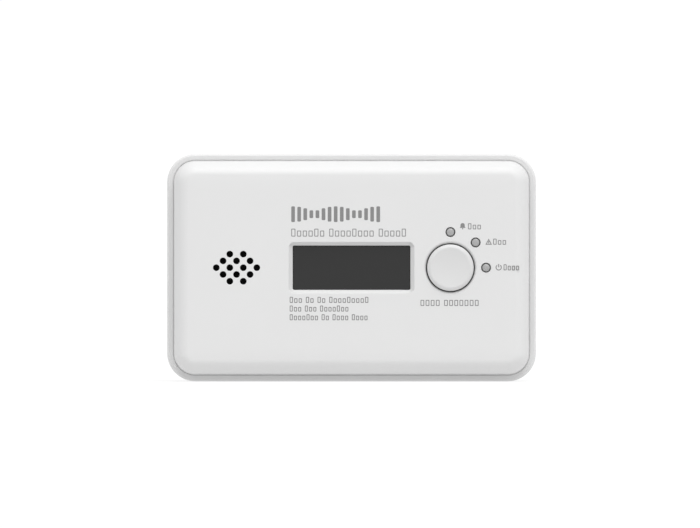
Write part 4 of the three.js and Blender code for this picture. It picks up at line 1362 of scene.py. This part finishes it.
def door_hinge_parts(inner_y, foot_z):
    """The two barrels, the arms that carry them and the pins at their ends."""
    barrel_near, barrel_far, barrel_radius = 14, 22, 1.1
    pin_near, pin_far, pin_radius = 12.6, 23.4, 0.6
    inset, arm_depth, overlap = 0.05, 1, 0.5
    hinge = door_hinge()
    barrels, arms, pins = [], [], []
    for side in (-1, 1):
        start, end = mirrored(side, barrel_near, barrel_far)
        barrels.append(rod_along_x(barrel_radius, start, end, hinge.y, hinge.z))
        low = (start + inset, inner_y + inset, hinge.z)
        arms.append(block(low, (end - inset, hinge.y + arm_depth, foot_z + overlap)))
        pins.append(rod_along_x(pin_radius, *mirrored(side, pin_near, pin_far), hinge.y, hinge.z, 32))
    return merged(barrels), merged(arms), merged(pins)


def add_label():
    """The blank label on the door and its printed border."""
    corner, edge, edge_depth = 1, 0.05, 0.03
    border_inset, border_width = 0.8, 0.25
    low, high = node_box("rating_label")
    steps = ((0, low.y), (0, high.y - edge_depth), (edge, high.y))
    film = loft([(label_outline(inset, corner - inset), y) for inset, y in steps])
    material = label_film("label_film", (0.62, 0.63, 0.63))
    add_piece("blank_label", film, [material], "battery_door", ["rating_label"])
    outer = label_outline(border_inset, corner - border_inset)
    inner = label_outline(border_inset + border_width, edge)
    border = ink_ring(outer, inner, high.y, 1)
    ink = printed_ink("grey_ink", chosen_colour("ink"))
    add_piece("label_border", border, [ink], "battery_door", even=False)


class DETECTOR_OT_battery_door(bpy.types.Operator):
    """Battery door: the plate with its hinge barrels, snap tab, grip grooves, arrow and label"""

    bl_idname = "detector.battery_door"
    bl_label = "Battery door"

    def execute(self, context):
        low, high = node_box("battery_door")
        plate, inner_y, foot_z = door_plate(low, high)
        steps = [("DIFFERENCE", door_cutters(inner_y, high.y, high.z))]
        steps += [("UNION", part) for part in door_hinge_parts(inner_y, foot_z)]
        door = combined(plate, steps)
        add_piece("battery_door_plate", door, [shell_plastic()], "battery_door", ["battery_door"])
        add_label()
        return {"FINISHED"}


# ---------------------------------------------------------------- screws, cells and contacts


def screw_profile(low_y, high_y):
    """Half the outline of a case screw: a point, threads, a neck and a pan head."""
    head_radius, head_height, head_side = 2.7, 2.0, 0.9
    core, crest, neck = 1.05, 1.38, 1.2
    point_height, head_edge = 1.3, 0.2
    thread_pitch, crest_start, crest_end, thread_end = 0.9, 0.28, 0.34, 0.62
    unthreaded = 4
    seat = high_y - head_height
    profile = [(0, low_y), (0.25, low_y + 0.05), (1.0, low_y + point_height - 0.1)]
    y = low_y + point_height
    while y < seat - unthreaded:
        profile += [(core, y), (crest, y + crest_start), (crest, y + crest_end), (core, y + thread_end)]
        y += thread_pitch
    profile += [(neck, y), (neck, seat), (head_radius - head_edge, seat), (head_radius, seat + head_edge)]
    shoulder = seat + head_side
    profile.append((head_radius, shoulder))
    for turn in crown_turns(10)[1:-1]:
        rise = (head_height - head_side) * math.sin(turn)
        profile.append((head_radius * math.cos(turn), shoulder + rise))
    return profile + [(0, high_y)]


def cross_recess(centre, head_y):
    """The two arms of the cross in a screw's head."""
    half_length, half_width, depth, edge = 1.5, 0.38, 1.2, 0.1
    arms = []
    for half_x, half_z in ((half_length, half_width), (half_width, half_length)):
        low = (centre[0] - half_x, head_y - depth, centre[1] - half_z)
        high = (centre[0] + half_x, head_y + OVERSHOOT, centre[1] + half_z)
        arms.append(("DIFFERENCE", soft_block(low, high, edge)))
    return arms


def zinc_plate():
    """The bright plating of the screws."""
    return drawn_metal("zinc_plate", (0.56, 0.57, 0.58), 0.25, 0.4)


class DETECTOR_OT_case_screws(bpy.types.Operator):
    """Case screws: pan heads with a cross recess and a threaded shank"""

    bl_idname = "detector.case_screws"
    bl_label = "Case screws"

    def execute(self, context):
        for number, screw in enumerate(CASE_SCREWS, 1):
            low, high = node_box(screw)
            centre = centre_of(screw)
            body = revolve(screw_profile(low.y, high.y), centre, 48)
            head = combined(body, cross_recess(centre, high.y))
            add_piece(
                f"case_screw_head_{number}", head, [zinc_plate()], stands_for=[screw]
            )
        return {"FINISHED"}


CELL_BAND_START = 36


def cell_profile(radius, full):
    """Half the outline of a cell along its axis, from its flat end to its raised end."""
    flat_end = [(0, 0.25), (4.9, 0.25), (5.2, 0.0), (6.5, 0.0), (6.75, 0.3), (radius - 0.12, 0.35)]
    sleeve = [(radius, 0.6), (radius, CELL_BAND_START)]
    band = [(radius, 47.6), (radius, 48.4), (radius - 0.25, 48.7)]
    shoulder = [(6.2, 48.75), (6.0, 49.1), (4.6, 49.3), (2.95, 49.35)]
    raised_end = [(2.75, 49.6), (2.75, full - 0.3), (2.5, full - 0.05), (0, full)]
    return flat_end + sleeve + band + shoulder + raised_end


def paint_cell(cell, radius):
    """Gives a cell's faces to the sleeve, the band at its raised end and the bare steel."""
    sleeve, band, steel = 0, 1, 2
    for face in cell.faces:
        reach = max(v.co.xz.length for v in face.verts)
        if abs(face.normal.y) >= 0.5 or reach <= radius - 0.2:
            face.material_index = steel
        elif face.calc_center_median().y < CELL_BAND_START:
            face.material_index = sleeve
        else:
            face.material_index = band


class DETECTOR_OT_cells(bpy.types.Operator):
    """Cells: steel cans in a printed sleeve with a band at the raised end"""

    bl_idname = "detector.cells"
    bl_label = "Cells"

    def execute(self, context):
        sleeve = polished_plastic("cell_sleeve", chosen_colour("sleeve"))
        band = polished_plastic("cell_band", (0.35, 0.16, 0.05))
        steel = drawn_metal("cell_steel", (0.6, 0.6, 0.6), 0.2, 0.35)
        for name, plus_side in (("cell_upper", 1), ("cell_middle", -1), ("cell_lower", 1)):
            low, high = node_box(name)
            radius = (high.z - low.z) / 2
            cell = revolve(cell_profile(radius, high.x - low.x), (0, 0), 72)
            paint_cell(cell, radius)
            start = low.x if plus_side > 0 else high.x
            place = Matrix.Translation((start, (low.y + high.y) / 2, (low.z + high.z) / 2))
            cell.transform(place @ Matrix.Rotation(-plus_side * math.pi / 2, 4, "Z"))
            add_piece(f"{name}_can", cell, [sleeve, band, steel], stands_for=[name])
        return {"FINISHED"}


CONTACT_FACE = 28.9
CONTACT_THICKNESS = 0.4


def coil_mesh(start, end, y, z):
    """A conical spring along X, as a tube of round wire."""
    start_radius, end_radius, wire_radius = 4.2, 2.4, 0.35
    turns, steps_per_turn, sides = 3.5, 32, 12
    steps = int(turns * steps_per_turn)
    along = Vector((1, 0, 0))
    mesh = bmesh.new()
    loops = []
    for step in range(steps + 1):
        share = step / steps
        angle = 2 * math.pi * turns * share
        radius = start_radius + (end_radius - start_radius) * share
        outward = Vector((0, math.cos(angle), math.sin(angle)))
        middle = Vector((start + (end - start) * share, y, z)) + outward * radius
        loop = []
        for side in range(sides):
            turn = 2 * math.pi * side / sides
            offset = outward * math.cos(turn) + along * math.sin(turn)
            loop.append(mesh.verts.new(middle + wire_radius * offset))
        loops.append(loop)
    skin(mesh, loops, capped=True)
    return mesh


def contact_bump(side, y, z):
    """The pressed dimple that meets a cell's raised end."""
    radius, round_width, rise, sunk = 2.6, 1.0, 0.6, 0.1
    profile = [(0, -sunk), (radius, -sunk), (radius, 0)]
    for turn in crown_turns(6)[1:]:
        profile.append((radius - round_width * math.sin(turn), rise * (1 - math.cos(turn))))
    profile.append((0, rise))
    mesh = revolve(profile, (0, 0), 48)
    place = Matrix.Translation((side * CONTACT_FACE, y, z))
    mesh.transform(place @ Matrix.Rotation(side * math.pi / 2, 4, "Z"))
    return mesh


def contact_tab(side, y, z):
    """The tab that passes through the bay's wall to a lead."""
    in_front, half_thickness, half_height, far = 4.6, 0.2, 1.5, 32.2
    start, end = mirrored(side, CONTACT_FACE + 0.2, far)
    low = (start, y - in_front - half_thickness, z - half_height)
    return soft_block(low, (end, y - in_front + half_thickness, z + half_height), radius=0.1, steps=2)


def contact_shapes(name, side, spring_row, bump_row):
    """A contact's plate with its spring, its dimple and, for an end contact, its tab."""
    spring_squeeze = 0.4
    low, high = node_box(name)
    start, end = mirrored(side, CONTACT_FACE, CONTACT_FACE + CONTACT_THICKNESS)
    shapes = [soft_block((start, low.y, low.z), (end, high.y, high.z), radius=0.12, steps=2)]
    if spring_row:
        cell_low, cell_high = node_box(spring_row)
        middle = (cell_low + cell_high) / 2
        tip = cell_high.x if side > 0 else cell_low.x
        shapes.append(coil_mesh(side * CONTACT_FACE, tip + side * spring_squeeze, middle.y, middle.z))
    if bump_row:
        middle = sum(node_box(bump_row), Vector()) / 2
        shapes.append(contact_bump(side, middle.y, middle.z))
    if not (spring_row and bump_row):
        middle = sum(node_box(spring_row or bump_row), Vector()) / 2
        shapes.append(contact_tab(side, middle.y, middle.z))
    return shapes


class DETECTOR_OT_contacts(bpy.types.Operator):
    """Contacts: plated spring-steel plates with conical springs and dimples"""

    bl_idname = "detector.contacts"
    bl_label = "Contacts"

    def execute(self, context):
        material = drawn_metal("contact_plating", (0.66, 0.65, 0.62), 0.22, 0.36)
        for name, side, spring_row, bump_row in (
            ("contact_positive", 1, None, "cell_upper"),
            ("contact_negative", -1, "cell_lower", None),
            ("contact_bridge_left", -1, "cell_upper", "cell_middle"),
            ("contact_bridge_right", 1, "cell_middle", "cell_lower"),
        ):
            contact = merged(contact_shapes(name, side, spring_row, bump_row))
            add_piece(
                f"{name}_plated", contact, [material], stands_for=[name], even=False
            )
        return {"FINISHED"}


# ---------------------------------------------------------------- finishes of the CAD pieces inside


class DETECTOR_OT_inner_finishes(bpy.types.Operator):
    """Inner finishes: materials for the pieces inside the case that keep their CAD shape"""

    bl_idname = "detector.inner_finishes"
    bl_label = "Inner finishes"

    def execute(self, context):
        black = moulded_plastic("black_plastic", (0.02, 0.02, 0.021), 0.45, 0.6)
        rubber_and_gap_shade = matt_rubber("grey_rubber", (0.05, 0.05, 0.055))
        finishes = {
            "lcd_panel": polished_plastic("display_glass", (0.25, 0.28, 0.23)),
            "lcd_frame": black,
            "lcd_connector_upper": rubber_and_gap_shade,
            "lcd_connector_lower": rubber_and_gap_shade,
            "sounder_case": black,
            "piezo_disc": drawn_metal("brass_sheet", (0.78, 0.57, 0.25), 0.25, 0.4),
            "piezo_ceramic": matt_rubber("fired_ceramic", (0.66, 0.63, 0.56)),
            "switch_body": black,
            "switch_plunger": black,
            "alarm_led": frosted_lens("red_lamp", (0.5, 0.04, 0.03)),
            "fault_led": frosted_lens("amber_lamp", (0.6, 0.28, 0.02)),
            "power_led": frosted_lens("green_lamp", (0.05, 0.4, 0.1)),
            "circuit_board": solder_mask("board_lacquer", (0.015, 0.12, 0.045)),
            "microcontroller": moulded_plastic("chip_resin", (0.03, 0.03, 0.03), 0.5, 0.65),
            "co_sensor_can": drawn_metal("sensor_steel", (0.5, 0.5, 0.51), 0.25, 0.4),
            "co_sensor_cap": black,
            "horn_coil": rubber_and_gap_shade,
            "capacitor": polished_plastic("capacitor_sleeve", (0.02, 0.04, 0.11)),
            "board_screw_1": zinc_plate(),
            "board_screw_2": zinc_plate(),
            "board_screw_3": zinc_plate(),
            "lead_red": polished_plastic("red_insulation", (0.45, 0.02, 0.015)),
            "lead_black": polished_plastic("black_insulation", (0.02, 0.02, 0.02)),
        }
        for name, material in finishes.items():
            data = frame["nodes"][name].data
            data.materials.clear()
            data.materials.append(material)
        return {"FINISHED"}


# ---------------------------------------------------------------- stage


def add_floor(scene):
    """A plain pale floor that glows a little, so that it stays even under the soft light."""
    half_size = 6.0
    mesh = bmesh.new()
    bmesh.ops.create_grid(mesh, x_segments=8, y_segments=8, size=half_size)
    data = bpy.data.meshes.new("floor")
    mesh.to_mesh(data)
    mesh.free()
    recipe = Recipe("pale_floor")
    recipe.tone((0.22, 0.22, 0.22), drift=0.01, size_mm=400)
    recipe.shader.inputs["Roughness"].default_value = 0.9
    recipe.shader.inputs["Specular IOR Level"].default_value = 0.0
    recipe.shader.inputs["Emission Color"].default_value = (1, 1, 1, 1)
    recipe.shader.inputs["Emission Strength"].default_value = 0.74
    data.materials.append(recipe.material)
    floor = bpy.data.objects.new("floor", data)
    scene.collection.objects.link(floor)


def add_tent(scene):
    """An even white tent, brighter behind the detector and above it, and a little to its right."""
    tent = 0.79
    behind_gain, behind_focus = 0.24, 4.0
    overhead_gain = 0.16
    right_gain = 0.045
    world = bpy.data.worlds.new("studio")
    world.use_nodes = True
    tree = world.node_tree
    axes = tree.nodes.new("ShaderNodeSeparateXYZ")
    tree.links.new(tree.nodes.new("ShaderNodeTexCoord").outputs["Generated"], axes.inputs["Vector"])

    def reckon(operation, *values):
        step = tree.nodes.new("ShaderNodeMath")
        step.operation = operation
        for socket, value in zip(step.inputs, values):
            if isinstance(value, float):
                socket.default_value = value
            else:
                tree.links.new(value, socket)
        return step.outputs["Value"]

    behind = reckon("POWER", reckon("MAXIMUM", axes.outputs["Y"], 0.0), behind_focus)
    above = reckon("MAXIMUM", axes.outputs["Z"], 0.0)
    strength = reckon("MULTIPLY_ADD", behind, behind_gain, tent)
    strength = reckon("MULTIPLY_ADD", axes.outputs["X"], right_gain, strength)
    strength = reckon("MULTIPLY_ADD", above, overhead_gain, strength)
    tree.links.new(strength, tree.nodes["Background"].inputs["Strength"])
    tree.nodes["Background"].inputs["Color"].default_value = (1, 1, 1, 1)
    scene.world = world


def add_softbox(scene):
    """A wide soft light above the detector and in front of it."""
    towards_light = Vector((0.12, -0.42, 0.9))
    softbox = bpy.data.lights.new("softbox", "SUN")
    softbox.energy = 1.8
    softbox.angle = math.radians(50)
    lamp = bpy.data.objects.new("softbox", softbox)
    lamp.rotation_euler = towards_light.to_track_quat("Z", "Y").to_euler()
    scene.collection.objects.link(lamp)


def add_camera(scene):
    """A long lens square to the front, so that the detector shows almost no perspective."""
    frame_width = 0.2278
    left_of_middle, above_middle = 0.0005, 0.0012
    low, high = CAD_BOX
    middle = (Vector(low) + Vector(high)) / 2
    data = bpy.data.cameras.new("camera")
    data.lens = 600
    data.sensor_width = 36
    data.clip_start = 0.01
    distance = data.lens / data.sensor_width * frame_width
    rim_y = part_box("rear_cover")[0].y
    camera = bpy.data.objects.new("camera", data)
    camera.location = (middle.x - left_of_middle, rim_y - distance, middle.z + above_middle)
    camera.rotation_euler = (math.radians(90), 0, 0)
    scene.collection.objects.link(camera)
    scene.camera = camera


class DETECTOR_OT_stage(bpy.types.Operator):
    """Stage: a plain pale floor, soft studio light and the camera in front of the detector"""

    bl_idname = "detector.stage"
    bl_label = "Stage"

    def execute(self, context):
        scene = context.scene
        scene.view_settings.view_transform = "Standard"
        scene.view_settings.look = "None"
        add_floor(scene)
        add_tent(scene)
        add_softbox(scene)
        add_camera(scene)
        return {"FINISHED"}


# ---------------------------------------------------------------- panel and running


OPERATORS = (
    DETECTOR_OT_front_cover,
    DETECTOR_OT_rear_cover,
    DETECTOR_OT_display_window,
    DETECTOR_OT_test_button,
    DETECTOR_OT_indicator_lights,
    DETECTOR_OT_grille_cloth,
    DETECTOR_OT_printed_marks,
    DETECTOR_OT_battery_door,
    DETECTOR_OT_case_screws,
    DETECTOR_OT_cells,
    DETECTOR_OT_contacts,
    DETECTOR_OT_inner_finishes,
    DETECTOR_OT_stage,
)


class DETECTOR_PT_panel(bpy.types.Panel):
    """Sizes, colours and building steps of the detector"""

    bl_idname = "DETECTOR_PT_panel"
    bl_label = "Carbon monoxide detector"
    bl_space_type = "VIEW_3D"
    bl_region_type = "UI"
    bl_category = "Detector"

    def draw(self, context):
        layout = self.layout
        for group in (context.scene.detector_sizes, context.scene.detector_colours):
            box = layout.box()
            for name in group.__annotations__:
                box.prop(group, name)
        column = layout.column()
        for operator in OPERATORS:
            column.operator(operator.bl_idname)


CLASSES = (DetectorSizes, DetectorColours, *OPERATORS, DETECTOR_PT_panel)


def register():
    """Adds the classes and the scene's sizes and colours."""
    for cls in CLASSES:
        bpy.utils.register_class(cls)
    bpy.types.Scene.detector_sizes = bpy.props.PointerProperty(type=DetectorSizes)
    bpy.types.Scene.detector_colours = bpy.props.PointerProperty(type=DetectorColours)


def unregister():
    """Takes them away again."""
    del bpy.types.Scene.detector_colours
    del bpy.types.Scene.detector_sizes
    for cls in reversed(CLASSES):
        bpy.utils.unregister_class(cls)


def main():
    """Registers the classes, then builds every piece and the stage."""
    register()
    for operator in OPERATORS:
        group, name = operator.bl_idname.split(".")
        getattr(getattr(bpy.ops, group), name)()
    bpy.context.view_layer.update()


if __name__ == "__main__":
    main()
